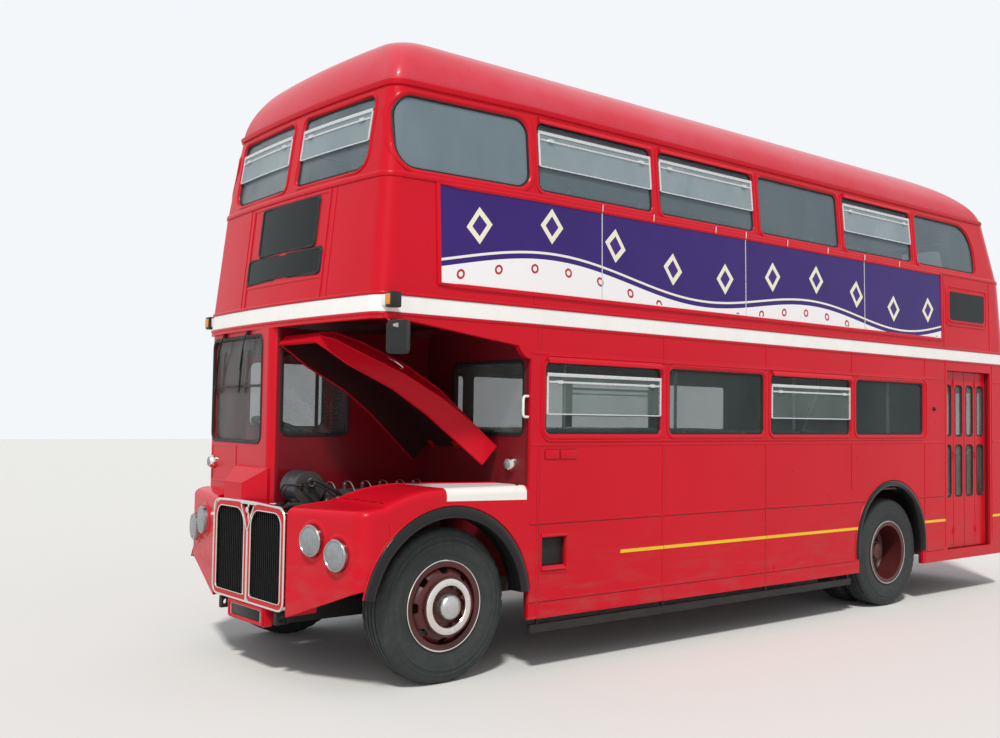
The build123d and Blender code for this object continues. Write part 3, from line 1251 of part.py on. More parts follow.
def leaf(outer):
    # leaf 1 hangs on the door post; leaf 2 hangs on leaf 1
    y0 = DOOR_Y0 + JAMB_GAP if outer else HINGE_Y + LEAF_GAP / 2
    with BuildPart() as b:
        add(box_between(LEAF_IN_X, LEAF_OUT_X, y0, y0 + LEAF_W, LEAF_Z0, LEAF_Z1))
        for z0, z1 in (LEAF_LOWER_GLASS, LEAF_UPPER_GLASS):
            extrude(side_plane(LEAF_IN_X - 10) * panel(y0 + LEAF_EDGE, y0 + LEAF_W - LEAF_EDGE, z0, z1, (36,) * 4),
                    amount=LEAF_T + 20, mode=Mode.SUBTRACT)
        if outer:
            py = DOOR_Y0 + JAMB_GAP + PIVOT_R
            add(rod((LEAF_IN_X, py, DOOR_SILL_Z - PIVOT_IN), (LEAF_IN_X, py, DOOR_HEAD_Z + PIVOT_IN), PIVOT_R))
        for z in KNUCKLE_ZS:
            z0 = z if outer else z + KNUCKLE_L + CLEAR
            add(rod((HINGE_X, HINGE_Y, z0), (HINGE_X, HINGE_Y, z0 + KNUCKLE_L), KNUCKLE_R))
            ya, yb = (HINGE_Y - 24, HINGE_Y) if outer else (HINGE_Y, HINGE_Y + 24)
            add(box_between(LEAF_OUT_X, HINGE_X, ya, yb, z0, z0 + KNUCKLE_L))
    return b.part


with BuildPart() as door_leaf_1:
    add(leaf(True))
with BuildPart() as door_leaf_2:
    add(leaf(False))
with BuildPart() as door_leaf_3:
    mirror(door_leaf_2.part, about=Plane.XZ.offset(-PAIR_MIDDLE_Y))
with BuildPart() as door_leaf_4:
    mirror(door_leaf_1.part, about=Plane.XZ.offset(-PAIR_MIDDLE_Y))

# Emergency door of the upper deck, hinged on its offside edge
EXIT_T = 40
EXIT_HINGE_R = 9
EXIT_HINGE_AT = (130, 430)
with BuildPart() as emergency_door:
    add(exit_slab(EXIT_HALF_W - EXIT_GAP, EXIT_FROM + EXIT_GAP, EXIT_TO - EXIT_GAP, 54, -EXIT_T, 0))
    add(exit_slab(EXIT_HALF_W - EXIT_GLASS_IN, EXIT_FROM + EXIT_GLASS_IN, EXIT_TO - EXIT_GLASS_IN, 60, -200, 100),
        mode=Mode.SUBTRACT)


def exit_point(u, v, n):
    # u towards the offside, v up the slope, n outwards
    return exit_plane.origin + exit_plane.x_dir * u + exit_plane.y_dir * v + exit_plane.z_dir * n


EXIT_HINGE_U = EXIT_HALF_W - EXIT_GAP / 2
EXIT_HINGE_N = EXIT_HINGE_R + 1
with BuildPart() as exit_door_knuckles:
    for v in EXIT_HINGE_AT:
        add(rod(exit_point(EXIT_HINGE_U, v, EXIT_HINGE_N), exit_point(EXIT_HINGE_U, v + 40, EXIT_HINGE_N), EXIT_HINGE_R))
        extrude(exit_plane.offset(0) * panel(EXIT_HINGE_U - 40, EXIT_HINGE_U, v, v + 40, (0,) * 4), amount=EXIT_HINGE_N)
with BuildPart() as emergency_door_hung:
    add(emergency_door.part)
    add(exit_door_knuckles.part)
with BuildPart() as exit_frame_knuckles:
    for v in EXIT_HINGE_AT:
        for v0, v1 in ((v - 30 - CLEAR, v - CLEAR), (v + 40 + CLEAR, v + 70 + CLEAR)):
            add(rod(exit_point(EXIT_HINGE_U, v0, EXIT_HINGE_N), exit_point(EXIT_HINGE_U, v1, EXIT_HINGE_N), EXIT_HINGE_R))
            extrude(exit_plane.offset(0) * panel(EXIT_HINGE_U, EXIT_HINGE_U + 40, v0, v1, (0,) * 4),
                    amount=EXIT_HINGE_N)
with BuildPart() as upper_rear_hung:
    add(upper_rear.part)
    add(exit_frame_knuckles.part)

# Window glass
with BuildPart() as lower_glass:
    extrude(lower_plan(LOWER_SILL_Z - 300, GLASS_INSET), amount=1000)
    extrude(lower_plan(LOWER_SILL_Z - 300, GLASS_INSET + GLASS), amount=1000, mode=Mode.SUBTRACT)
with BuildPart() as upper_glass:
    add(deck_solid(UPPER_SECTIONS[1:], GLASS_INSET))
    add(deck_solid(UPPER_SECTIONS[1:], GLASS_INSET + GLASS), mode=Mode.SUBTRACT)


def side_glass(s):
    with BuildPart() as lower:
        add(lower_glass.part)
        add(side_cutter(LOWER_WINDOWS, s), mode=Mode.INTERSECT)
    with BuildPart() as upper:
        add(upper_glass.part)
        add(side_cutter(UPPER_WINDOWS, s), mode=Mode.INTERSECT)
    with BuildPart() as b:
        add(lower.part)
        add(upper.part)
    return b.part


with BuildPart() as windows_nearside:
    add(side_glass(1))
with BuildPart() as windows_offside:
    add(side_glass(-1))
with BuildPart() as front_windows:
    add(upper_glass.part)
    add(front_window_cutter.part, mode=Mode.INTERSECT)
with BuildPart() as cab_window_cutter:
    extrude(front_plane(at(-900)) * panel(SCREEN_X[0], SCREEN_X[1], SCREEN_SILL_Z, SCREEN_HEAD_Z, (60,) * 4),
            amount=-450)
    extrude(side_plane(-60) * panel(at(CAB_SIDE_WINDOW[0]), at(CAB_SIDE_WINDOW[1]), CAB_SIDE_WINDOW[2],
                                    CAB_SIDE_WINDOW[3], (50,) * 4), amount=120)
with BuildPart() as cab_windows:
    extrude(cab_plan(SCREEN_SILL_Z - 50, GLASS_INSET), amount=900)
    extrude(cab_plan(SCREEN_SILL_Z - 50, GLASS_INSET + GLASS, 50), amount=900, mode=Mode.SUBTRACT)
    add(cab_window_cutter.part, mode=Mode.INTERSECT)
with BuildPart() as rear_window:
    add(lower_glass.part)
    extrude(front_plane(at(REAR_WALL_ST) + 50) * panel(REAR_WINDOW_X[0], REAR_WINDOW_X[1], REAR_WINDOW_Z[0],
                                                       REAR_WINDOW_Z[1], (60,) * 4),
            amount=250, mode=Mode.INTERSECT)
# the two panes of the front bulkhead and the rear window
with BuildPart() as end_windows:
    for x0, x1 in ((360, 1140), (-1090, -130)):
        extrude(front_plane(at(BULKHEAD_ST) + 12) * panel(x0, x1, 1594, 2090, (60,) * 4), amount=-GLASS)
    add(rear_window.part)

PIECES = {
    "lower_side_nearside": lower_side_nearside,
    "lower_side_offside": lower_side_offside,
    "entrance_frame": entrance_frame,
    "front_bulkhead": bulkhead_with_hinges,
    "cab_shell": cab_shell,
    "upper_side_nearside": upper_side_nearside,
    "upper_side_offside": upper_side_offside,
    "upper_front": upper_front,
    "upper_rear": upper_rear_hung,
    "lower_rear": lower_rear,
    "roof": roof,
    "lower_floor": lower_floor,
    "upper_floor": upper_floor,
    "staircase": staircase,
    "windows_nearside": windows_nearside,
    "windows_offside": windows_offside,
    "front_windows": front_windows,
    "cab_windows": cab_windows,
    "end_windows": end_windows,
    "seats_lower_nearside": seats_lower_nearside,
    "seats_lower_offside": seats_lower_offside,
    "seats_upper_nearside": seats_upper_nearside,
    "seats_upper_offside": seats_upper_offside,
    "driver_seat": driver_seat,
    "wing_nearside": wing_nearside,
    "wing_offside": wing_offside,
    "arch_flares": arch_flares,
    "grille_surround": grille_surround,
    "grille": grille,
    "number_plate_box": number_plate_box,
    "lamps": lamps,
    "engine": engine,
    "radiator": radiator,
    "front_subframe": front_subframe,
    "rear_axle": rear_axle,
    "transmission": transmission,
    "fuel_tank": fuel_tank,
    "exhaust": exhaust,
    "side_rails": side_rails,
    "mirrors": mirrors,
    "steering_column": steering_column,
    "steering_wheel": steering_wheel,
    "bonnet": bonnet,
    "cab_door": cab_door,
    "door_leaf_1": door_leaf_1,
    "door_leaf_2": door_leaf_2,
    "door_leaf_3": door_leaf_3,
    "door_leaf_4": door_leaf_4,
    "emergency_door": emergency_door_hung,
    "knuckle_nearside": knuckle_nearside,
    "knuckle_offside": knuckle_offside,
    "wheel_front_nearside": wheel_front_nearside,
    "wheel_front_offside": wheel_front_offside,
    "tyre_front_nearside": tyre_front_nearside,
    "tyre_front_offside": tyre_front_offside,
    "wheels_rear_nearside": wheels_rear_nearside,
    "wheels_rear_offside": wheels_rear_offside,
    "tyres_rear_nearside": tyres_rear_nearside,
    "tyres_rear_offside": tyres_rear_offside,
}

for name, piece in PIECES.items():
    piece.part.label = name
    export_step(piece.part, "parts/" + name + ".step")
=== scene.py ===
"""Half-cab double-decker bus: finishes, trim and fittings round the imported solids."""
import math

import bpy
from mathutils import Matrix, Vector


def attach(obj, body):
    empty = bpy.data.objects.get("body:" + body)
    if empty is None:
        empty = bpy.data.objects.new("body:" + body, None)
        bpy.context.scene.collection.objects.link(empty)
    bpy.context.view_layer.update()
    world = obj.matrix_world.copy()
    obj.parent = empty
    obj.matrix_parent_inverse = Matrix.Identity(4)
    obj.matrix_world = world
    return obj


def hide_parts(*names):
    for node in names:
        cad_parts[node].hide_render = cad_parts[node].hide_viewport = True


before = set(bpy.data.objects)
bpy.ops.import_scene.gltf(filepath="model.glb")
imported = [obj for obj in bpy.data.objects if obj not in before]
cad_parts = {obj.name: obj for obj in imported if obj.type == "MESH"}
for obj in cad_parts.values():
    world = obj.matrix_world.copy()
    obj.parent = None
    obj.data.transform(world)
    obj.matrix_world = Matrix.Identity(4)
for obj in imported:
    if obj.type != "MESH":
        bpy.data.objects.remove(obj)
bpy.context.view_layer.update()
bpy.ops.object.select_all(action="DESELECT")
scene = bpy.context.scene
scene.view_settings.view_transform = "Standard"
BODY = "coachwork"
HANDS = ((1, "nearside"), (-1, "offside"))
FRONT_AXLE, REAR_AXLE = -3.350, 1.781
BODY_SIDE, REAR_FACE, BULKHEAD_FACE = 1.219, 4.166, -2.747
CAB_DOOR_FACE, LEAF_FACE = -1.254, 1.164
BAND, LINE_LEVEL = (2.342, 2.448), (0.745, 0.769)


def st(station):
    """y of a station, which is counted backwards from the front axle."""
    return FRONT_AXLE + station


# Camera, floor and light
def add_camera():
    turn, tilt, roll = -0.8823, 0.0444, 0.0147
    ahead = Vector((math.sin(turn) * math.cos(tilt), math.cos(turn) * math.cos(tilt), math.sin(tilt)))
    side = Vector((math.cos(turn), -math.sin(turn), 0.0))
    above = side.cross(ahead)
    right = math.cos(roll) * side + math.sin(roll) * above
    up = math.cos(roll) * above - math.sin(roll) * side
    data = bpy.data.cameras.new("camera")
    data.sensor_fit = "HORIZONTAL"
    data.sensor_width = 36.0
    data.lens = 38.927
    data.clip_end = 200.0
    camera = bpy.data.objects.new("camera", data)
    scene.collection.objects.link(camera)
    camera.matrix_world = Matrix.Translation((6.7025, -7.532, 1.7092)) @ Matrix((right, up,
        -ahead)).transposed().to_4x4()
    scene.camera = camera


def add_light(name, kind, place, aim, energy, size, colour=(1, 1, 1)):
    data = bpy.data.lights.new(name, kind)
    data.energy = energy
    data.color = colour
    if kind == "AREA":
        data.size = size
    else:
        data.angle = size
    lamp = bpy.data.objects.new(name, data)
    scene.collection.objects.link(lamp)
    lamp.location = place
    lamp.rotation_euler = (Vector(aim) - Vector(place)).to_track_quat("-Z", "Y").to_euler()


class Wire:
    """A shader value; sums on it add Math nodes."""

    def __init__(self, paint, socket):
        self.paint = paint
        self.socket = socket

    def sum(self, operation, *values):
        return self.paint.node("ShaderNodeMath", {"operation": operation}, dict(enumerate(values)))

    def __add__(self, other):
        return self.sum("ADD", self, other)

    def __sub__(self, other):
        return self.sum("SUBTRACT", self, other)

    def __rsub__(self, other):
        return self.sum("SUBTRACT", other, self)

    def __mul__(self, other):
        return self.sum("MULTIPLY", self, other)

    def __truediv__(self, other):
        return self.sum("DIVIDE", self, other)

    def __gt__(self, other):
        return self.sum("GREATER_THAN", self, other)

    def __lt__(self, other):
        return self.sum("LESS_THAN", self, other)

    def __abs__(self):
        return self.sum("ABSOLUTE", self)

    __radd__ = __add__
    __rmul__ = __mul__

    def apply(self, operation, *values):
        return self.sum(operation, self, *values)


class Paint:
    """A material and its nodes."""

    def __init__(self, name):
        self.material = bpy.data.materials.new(name)
        self.material.use_nodes = True
        self.tree = self.material.node_tree
        self.shader = self.tree.nodes["Principled BSDF"]
        self.place = self.node("ShaderNodeTexCoord", {}, {}, "Object")
        parts = self.tree.nodes.new("ShaderNodeSeparateXYZ")
        self.tree.links.new(self.place.socket, parts.inputs[0])
        self.x, self.y, self.z = (Wire(self, parts.outputs[k]) for k in range(3))

    def node(self, kind, settings, values, output=0):
        made = self.tree.nodes.new(kind)
        for key, value in settings.items():
            setattr(made, key, value)
        for key, value in values.items():
            self.feed(made.inputs[key], value)
        return Wire(self, made.outputs[output])

    def feed(self, socket, value):
        if isinstance(value, Wire):
            self.tree.links.new(value.socket, socket)
        elif isinstance(value, (tuple, list)) and len(value) == 3 and socket.type == "RGBA":
            socket.default_value = (*value, 1)
        else:
            socket.default_value = value

    def noise(self, scale, detail=3.0, rough=0.5, stretch=None):
        where = self.place
        if stretch:
            where = self.node("ShaderNodeMapping", {}, {"Vector": where, "Scale": stretch})
        return self.node("ShaderNodeTexNoise", {}, {"Vector": where, "Scale": scale, "Detail": detail,
            "Roughness": rough})

    def blend(self, mask, low, high):
        """Colour that goes from low to high as mask goes from 0 to 1."""
        return self.node("ShaderNodeMix", {"data_type": "RGBA"}, {0: mask, 6: low, 7: high}, 2)

    def ramp(self, value, low, high, bottom=0.0, top=1.0):
        return self.node("ShaderNodeMapRange", {}, {0: value, 1: low, 2: high, 3: bottom, 4: top})

    def between(self, value, low, high):
        return (value > low) * (value < high)

    def near(self, value, low, high, soft):
        """1 between low and high, fading over soft outside them."""
        return self.ramp(value, low - soft, low) * self.ramp(value, high, high + soft, 1.0, 0.0)

    def any(self, *masks):
        total = masks[0]
        for mask in masks[1:]:
            total = total.apply("MAXIMUM", mask)
        return total

    def bump(self, height, depth, strength=1.0):
        return self.node("ShaderNodeBump", {}, {"Height": height, "Distance": depth, "Strength": strength})

    def set(self, **sockets):
        for key, value in sockets.items():
            self.feed(self.shader.inputs[key.replace("_", " ")], value)
        return self.material


CREAM = (0.62, 0.55, 0.38)
LINER = (0.16, 0.012, 0.014)
WHITE = (0.80, 0.79, 0.76)
YELLOW = (0.80, 0.52, 0.02)
DUST = (0.16, 0.13, 0.11)


def red_paint(name, inner=None, marks=None, inner_colour=LINER):
    """Coach enamel: a little chalking, road film low down, faint waves in the panels."""
    p = Paint(name)
    colour = p.blend(p.noise(1.3, 4), (0.52, 0.0040, 0.014), (0.60, 0.0060, 0.020))
    if marks:
        colour = marks(p, colour)
    film = p.ramp(p.z, 1.05, 0.36) * p.ramp(p.noise(5.0, 6, 0.65, (1, 0.6, 3)), 0.46, 0.70)
    colour = p.blend(film * 0.30, colour, DUST)
    spots = p.ramp(p.noise(38.0, 4, 0.6), 0.66, 0.74)
    colour = p.blend(spots * 0.04, colour, DUST)
    # Inner faces take inner_colour: dark red in the lower saloon, cream in the upper one, painted deep shade in
    # the cab.
    if inner:
        colour = p.blend(inner(p), colour, inner_colour)
    wave = p.noise(1.7, 1, 0.4, (1, 1, 0.8)) + p.noise(420.0, 1) * 0.012
    return p.set(Base_Color=colour, Roughness=0.26 + 0.22 * film + 0.05 * p.noise(9.0), Coat_Weight=0.06,
        Coat_Roughness=0.06, Specular_IOR_Level=0.13, Normal=p.bump(wave, 0.012, 0.28))


def side_marks(p, colour):
    """White relief band between the decks and yellow line along the lower panels."""
    along = p.y - FRONT_AXLE
    white = p.between(p.z, *BAND)
    line = p.between(p.z, *LINE_LEVEL) * p.any(p.between(along, 1.477, 4.62), p.between(along, 5.66, 6.06),
        p.between(along, 7.02, 7.45)) * (abs(p.x) > 1.1)
    joint = p.any(p.near(p.z, 2.3405, 2.3425, 0.002), p.near(p.z, 2.4475, 2.4495, 0.002))
    colour = p.blend(white, colour, p.blend(p.noise(7.0, 5), (0.78, 0.77, 0.75), (0.90, 0.89, 0.87)))
    colour = p.blend(line, colour, YELLOW)
    return p.blend(joint * 0.7, colour, (0.10, 0.03, 0.03))


def wing_marks(p, colour):
    """White tip along the rear of the nearside wing's crown."""
    along = p.y - FRONT_AXLE
    tip = p.between(along, -0.087, 0.578) * (p.z > 1.172 - 0.02 * along)
    tip = tip * (p.x > 0.0)
    return p.blend(tip, colour, WHITE)


def roof_marks(p, colour):
    return p.blend(0.30 + p.ramp(p.noise(2.0, 5, 0.6), 0.40, 0.75) * 0.28, colour, (0.60, 0.105, 0.145))


def rounded_in(a, b, r):
    """Distance in from a corner of radius r, given the distances from its two faces."""
    da, db = (r - a).apply("MAXIMUM", 0.0), (r - b).apply("MAXIMUM", 0.0)
    return (r - (da * da + db * db).apply("SQRT")).apply("MINIMUM", a.apply("MINIMUM", b))


def inside_lower(p):
    return (rounded_in(BODY_SIDE - abs(p.x), REAR_FACE - p.y, 0.30) > 0.022) * (p.y > FRONT_AXLE + 0.56)


def inside_upper(p):
    """The walls' inner half, by the distance in from the outer face."""
    z = p.z
    low, high = z - 2.30, z - 3.19

    def least(a, b):
        return a.apply("MINIMUM", b)

    half = least(BODY_SIDE - 0.01573 * low, 1.205 - 0.088 * high)
    front_half = least(1.205 - 0.06742 * low, 1.145 - 0.104 * high)
    corner = (0.0921 * low - 0.615).apply("MAXIMUM", 0.1408 * high - 0.533)
    middle = (0.109 * low - 0.690).apply("MAXIMUM", 0.1488 * high - 0.593)
    rear = least(7.516 - 0.1348 * low, 7.396 - 0.36 * high)
    along = p.y - FRONT_AXLE
    taper = p.ramp((along - corner) / (0.62 - corner), 0.0, 1.0)
    side = front_half + (half - front_half) * taper - abs(p.x)
    nose = along - middle - (corner - middle) * (p.x * p.x) / (front_half * front_half)
    tail = rear - along
    return (least(rounded_in(side, nose, 0.11), rounded_in(side, tail, 0.30)) > 0.016) * (z > 2.47)


def cab_inside(p):
    """Linings and undersides of the cab, where deep shade is painted."""
    painted_shade = (p.x > -0.004) * (p.y > FRONT_AXLE - 0.66)
    return p.any(painted_shade, p.between(p.x, -1.190, 0.020) * (p.y > FRONT_AXLE - 0.55) * (p.z > 1.08))


def plain(name, low, high, rough, scale=6.0, metallic=0.0, grain=0.0, coat=0.0, depth=0.002, shine=None):
    """A finish that wanders between two colours, with a fine grain."""
    p = Paint(name)
    tone = p.noise(scale, 5, 0.6)
    out = {"Base_Color": p.blend(tone, low, high),
           "Roughness": p.ramp(p.noise(scale * 3, 4), 0.3, 0.7, rough * 0.8, rough * 1.2)}
    if grain:
        out["Normal"] = p.bump(p.noise(grain, 3), depth, 0.5)
    shine = (0.2 if max(high) < 0.06 else 0.4) if shine is None else shine
    return p.set(Metallic=metallic, Coat_Weight=coat, Specular_IOR_Level=shine, **out)


def glass(name, tint, alpha, streak=0.06):
    p = Paint(name)
    film = p.ramp(p.noise(2.2, 5, 0.6, (1, 1, 0.5)), 0.35, 0.75)
    p.material.surface_render_method = "DITHERED"
    return p.set(Base_Color=p.blend(film * 0.3, tint, (0.75, 0.78, 0.78)), Alpha=alpha + streak * film,
        Roughness=0.02 + 0.05 * film, Specular_IOR_Level=0.5, Coat_Weight=0.1, Coat_Roughness=0.02)


def side_glass_sky_painted_above():
    """Clear and greenish below; above, blue-grey painted sky reflection, nearly shut off in the first bay."""
    p = Paint("side_glass_sky_painted_above")
    above = p.z > 2.9
    first = above * (p.y < FRONT_AXLE + 0.64)
    film = p.ramp(p.noise(2.2, 5, 0.6, (1, 1, 0.5)), 0.35, 0.75)
    # Above: blue-grey, less clear, nearly solid in the first bay: painted sky reflection.
    tint = p.blend(above, (0.030, 0.055, 0.050), (0.13, 0.185, 0.215))
    return p.set(Base_Color=p.blend(film * 0.12, tint, (0.40, 0.44, 0.46)),
        Alpha=0.30 + 0.22 * above + 0.38 * first + 0.04 * film, Roughness=0.03 + 0.05 * film,
        Specular_IOR_Level=0.35)


def headlamp_glass():
    """Fluted glass: pale and dark upright bands over a patchy grey tone of painted reflection."""
    p = Paint("headlamp_glass")
    flute = abs((p.x * 70.0).apply("FRACT") - 0.5) * 2.0
    # The patchy grey tone is painted reflection.
    tone = p.blend(0.25 + 0.65 * p.noise(26.0, 4, 0.6), (0.04, 0.045, 0.05), (0.36, 0.39, 0.41))
    tone = p.blend(flute * 0.25, tone, (0.52, 0.55, 0.56))
    return p.set(Base_Color=tone, Metallic=0.35, Roughness=0.10 + 0.12 * flute,
        Normal=p.bump(flute, 0.002, 0.5))


FINISH = {
    "red": red_paint("red_enamel", marks=side_marks),
    "red_lower": red_paint("red_enamel_lower", inside_lower, side_marks),
    # The cab's enamel: painted deep shade on its linings and undersides.
    "red_cab": red_paint("red_enamel_cab", cab_inside, None, (0.17, 0.005, 0.010)),
    "red_upper": red_paint("red_enamel_upper", inside_upper, side_marks, CREAM),
    "red_roof": red_paint("red_enamel_roof", None, roof_marks),
    "red_wing": red_paint("red_enamel_wing", marks=wing_marks),
    "dark": plain("brown_black_panel", (0.018, 0.014, 0.014), (0.05, 0.035, 0.032), 0.5, 5.0, grain=90.0),
    "bulkhead": plain("shaded_red_panel", (0.13, 0.004, 0.008), (0.20, 0.007, 0.013), 0.45, 5.0, grain=40.0),
    "black": plain("chassis_black", (0.012, 0.012, 0.012), (0.04, 0.035, 0.032), 0.55, 8.0, grain=60.0),
    "rubber": plain("rubber_black", (0.010, 0.010, 0.010), (0.030, 0.028, 0.027), 0.5, 14.0, grain=220.0),
    "chrome": plain("bright_chrome", (0.62, 0.60, 0.56), (0.82, 0.80, 0.76), 0.14, 10.0, 1.0),
    "rim_chrome": plain("lamp_rim_chrome", (0.26, 0.25, 0.24), (0.46, 0.45, 0.43), 0.18, 10.0, 1.0),
    "aluminium": plain("window_aluminium", (0.60, 0.60, 0.60), (0.78, 0.78, 0.77), 0.30, 18.0, 0.9,
        grain=160.0),
    # Dark red lines: painted shadow beside the lower strips, and the outlines round the small plates.
    "dark_line": plain("dark_red_line", (0.060, 0.002, 0.004), (0.11, 0.004, 0.007), 0.6, 9.0),
    "floor": plain("floor_lino", (0.10, 0.045, 0.035), (0.16, 0.07, 0.055), 0.55, 4.0, grain=80.0),
    "glass": glass("window_glass", (0.045, 0.085, 0.075), 0.36),
    "glass_side": side_glass_sky_painted_above(),
    "glass_cab": glass("cab_glass", (0.040, 0.060, 0.050), 0.24, 0.02),
    "glass_low": glass("top_light_glass", (0.22, 0.33, 0.30), 0.13, 0.03),
    # Blue-grey upper glass: painted sky reflection.
    "glass_sky": glass("upper_top_light_painted_sky", (0.34, 0.44, 0.48), 0.44, 0.03),
    "glass_up": glass("upper_glass_painted_sky", (0.15, 0.21, 0.24), 0.42),
    "lens": headlamp_glass(),
    "red_lens": plain("red_lens", (0.30, 0.004, 0.004), (0.42, 0.008, 0.008), 0.12, 40.0, coat=0.4),
    "amber": plain("amber_lens", (0.60, 0.20, 0.01), (0.75, 0.30, 0.02), 0.15, 60.0, coat=0.4),
    "steel_bright": plain("dull_silver", (0.42, 0.42, 0.42), (0.62, 0.62, 0.61), 0.30, 26.0, 0.9, grain=90.0),
    "gloss": plain("gloss_black", (0.004, 0.004, 0.005), (0.009, 0.009, 0.010), 0.16, 5.0, grain=12.0,
        depth=0.001, shine=0.35),
    "white": plain("white_line", (0.72, 0.72, 0.70), (0.86, 0.86, 0.84), 0.35, 30.0),
    "plate": plain("plate_black", (0.010, 0.010, 0.010), (0.018, 0.018, 0.018), 0.3, 18.0),
    "casting": plain("engine_casting", (0.03, 0.03, 0.032), (0.10, 0.095, 0.09), 0.5, 22.0, 0.4, grain=120.0),
    "brass": plain("radiator_core", (0.02, 0.018, 0.015), (0.06, 0.05, 0.035), 0.6, 30.0, 0.5),
    "steel": plain("exhaust_steel", (0.10, 0.07, 0.05), (0.20, 0.15, 0.11), 0.6, 16.0, 0.6, grain=70.0),
    "plastic": plain("black_gloss", (0.010, 0.010, 0.010), (0.02, 0.02, 0.02), 0.25, 10.0, coat=0.3),
    "maroon": plain("wheel_maroon", (0.045, 0.008, 0.008), (0.10, 0.018, 0.015), 0.42, 12.0, grain=40.0,
        coat=0.1),
    "hide": plain("seat_hide", (0.012, 0.012, 0.012), (0.03, 0.028, 0.026), 0.45, 12.0, grain=140.0),
    "cloth": plain("seat_cloth", (0.16, 0.02, 0.02), (0.28, 0.05, 0.04), 0.85, 40.0, grain=400.0),
    "mesh": plain("grille_black", (0.004, 0.004, 0.004), (0.010, 0.010, 0.010), 0.6, 20.0),
    "blind": plain("blind_glass", (0.002, 0.005, 0.004), (0.005, 0.009, 0.008), 0.12, 5.0, shine=0.15),
    # Painted deep shade for the bonnet's inside
    "painted_shade": plain("bonnet_painted_shade", (0.022, 0.004, 0.005), (0.045, 0.007, 0.008), 0.7, 6.0),
    "drum": plain("filter_blue_grey", (0.020, 0.032, 0.040), (0.055, 0.075, 0.085), 0.4, 18.0, 0.3, grain=80.0,
        coat=0.2),
    "hose": plain("hose_rubber", (0.010, 0.010, 0.010), (0.028, 0.027, 0.026), 0.6, 30.0, grain=260.0),
    "pipework": plain("pipe_steel", (0.16, 0.15, 0.14), (0.34, 0.33, 0.31), 0.35, 60.0, 0.8),
    "cream": plain("cream_lining", (0.50, 0.44, 0.29), (0.62, 0.55, 0.38), 0.5, 5.0, grain=60.0),
}


def tyre_rubber():
    """Weathered rubber: greenish grey with a fine grain and patches of paler dust."""
    p = Paint("tyre_rubber")
    tone = p.noise(9.0, 6, 0.65)
    colour = p.blend(tone, (0.016, 0.020, 0.020), (0.042, 0.050, 0.048))
    dust = p.ramp(p.noise(26.0, 5, 0.6), 0.52, 0.75)
    colour = p.blend(dust * 0.35, colour, (0.085, 0.080, 0.070))
    return p.set(Base_Color=colour, Roughness=0.58 + 0.2 * tone, Specular_IOR_Level=0.3,
        Normal=p.bump(p.noise(300.0, 2), 0.0008, 0.5))


def deck_covering():
    """Ribbed lino above; cream underneath in the saloon, and over the bonnet a dark red of painted deep shade.
    """
    p = Paint("upper_deck")
    ribs = ((p.x * 55.0).apply("FRACT") > 0.5) * (abs(p.x) < 0.25)
    top = p.blend(p.noise(5.0, 5), (0.085, 0.040, 0.034), (0.14, 0.065, 0.052))
    top = p.blend(ribs * 0.4, top, (0.03, 0.018, 0.016))
    # Underneath, over the bonnet, the dark red is painted shade.
    under = p.blend(p.y > FRONT_AXLE + 0.62, (0.12, 0.004, 0.009), (0.55, 0.48, 0.32))
    return p.set(Base_Color=p.blend(p.z < 2.40, top, under), Roughness=0.5 + 0.15 * p.noise(14.0),
        Specular_IOR_Level=0.3, Normal=p.bump(ribs, 0.002, 0.4))


FINISH["tyre"] = tyre_rubber()
FINISH["deck"] = deck_covering()
NODE_FINISH = {
    "red_lower": "lower_side_nearside lower_side_offside lower_rear entrance_frame",
    "red_upper": "upper_side_nearside upper_side_offside upper_front upper_rear",
    "red_roof": "roof",
    "red_wing": "wing_nearside wing_offside",
    "red_cab": "cab_shell",
    "red": "bonnet cab_door emergency_door number_plate_box door_leaf_1 door_leaf_2 door_leaf_3 door_leaf_4",
    "bulkhead": "front_bulkhead",
    "black": "front_subframe rear_axle fuel_tank side_rails steering_column knuckle_nearside knuckle_offside",
    "gloss": "arch_flares",
    "rubber": "tyre_front_nearside tyre_front_offside tyres_rear_nearside tyres_rear_offside",
    "chrome": "grille_surround lamps",
    "floor": "lower_floor staircase",
    "deck": "upper_floor",
    "glass_side": "windows_nearside windows_offside",
    "glass": "end_windows",
    "glass_cab": "cab_windows",
    "glass_up": "front_windows",
    "casting": "engine transmission",
    "brass": "radiator",
    "steel": "exhaust",
    "plastic": "mirrors steering_wheel",
    "maroon": "wheel_front_nearside wheel_front_offside wheels_rear_nearside wheels_rear_offside",
    "hide": "driver_seat",
    "cloth": "seats_lower_nearside seats_lower_offside seats_upper_nearside seats_upper_offside",
    "mesh": "grille",
}
for finish, nodes in NODE_FINISH.items():
    for node in nodes.split():
        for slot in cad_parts[node].material_slots:
            slot.material = FINISH[finish]

add_camera()

bpy.ops.mesh.primitive_plane_add(size=120.0)
floor = bpy.context.object
floor.name = "floor"
paint = Paint("pale_floor")
paint.set(Base_Color=(0.72, 0.72, 0.71), Roughness=0.9)
floor.data.materials.append(paint.material)
bpy.ops.object.select_all(action="DESELECT")

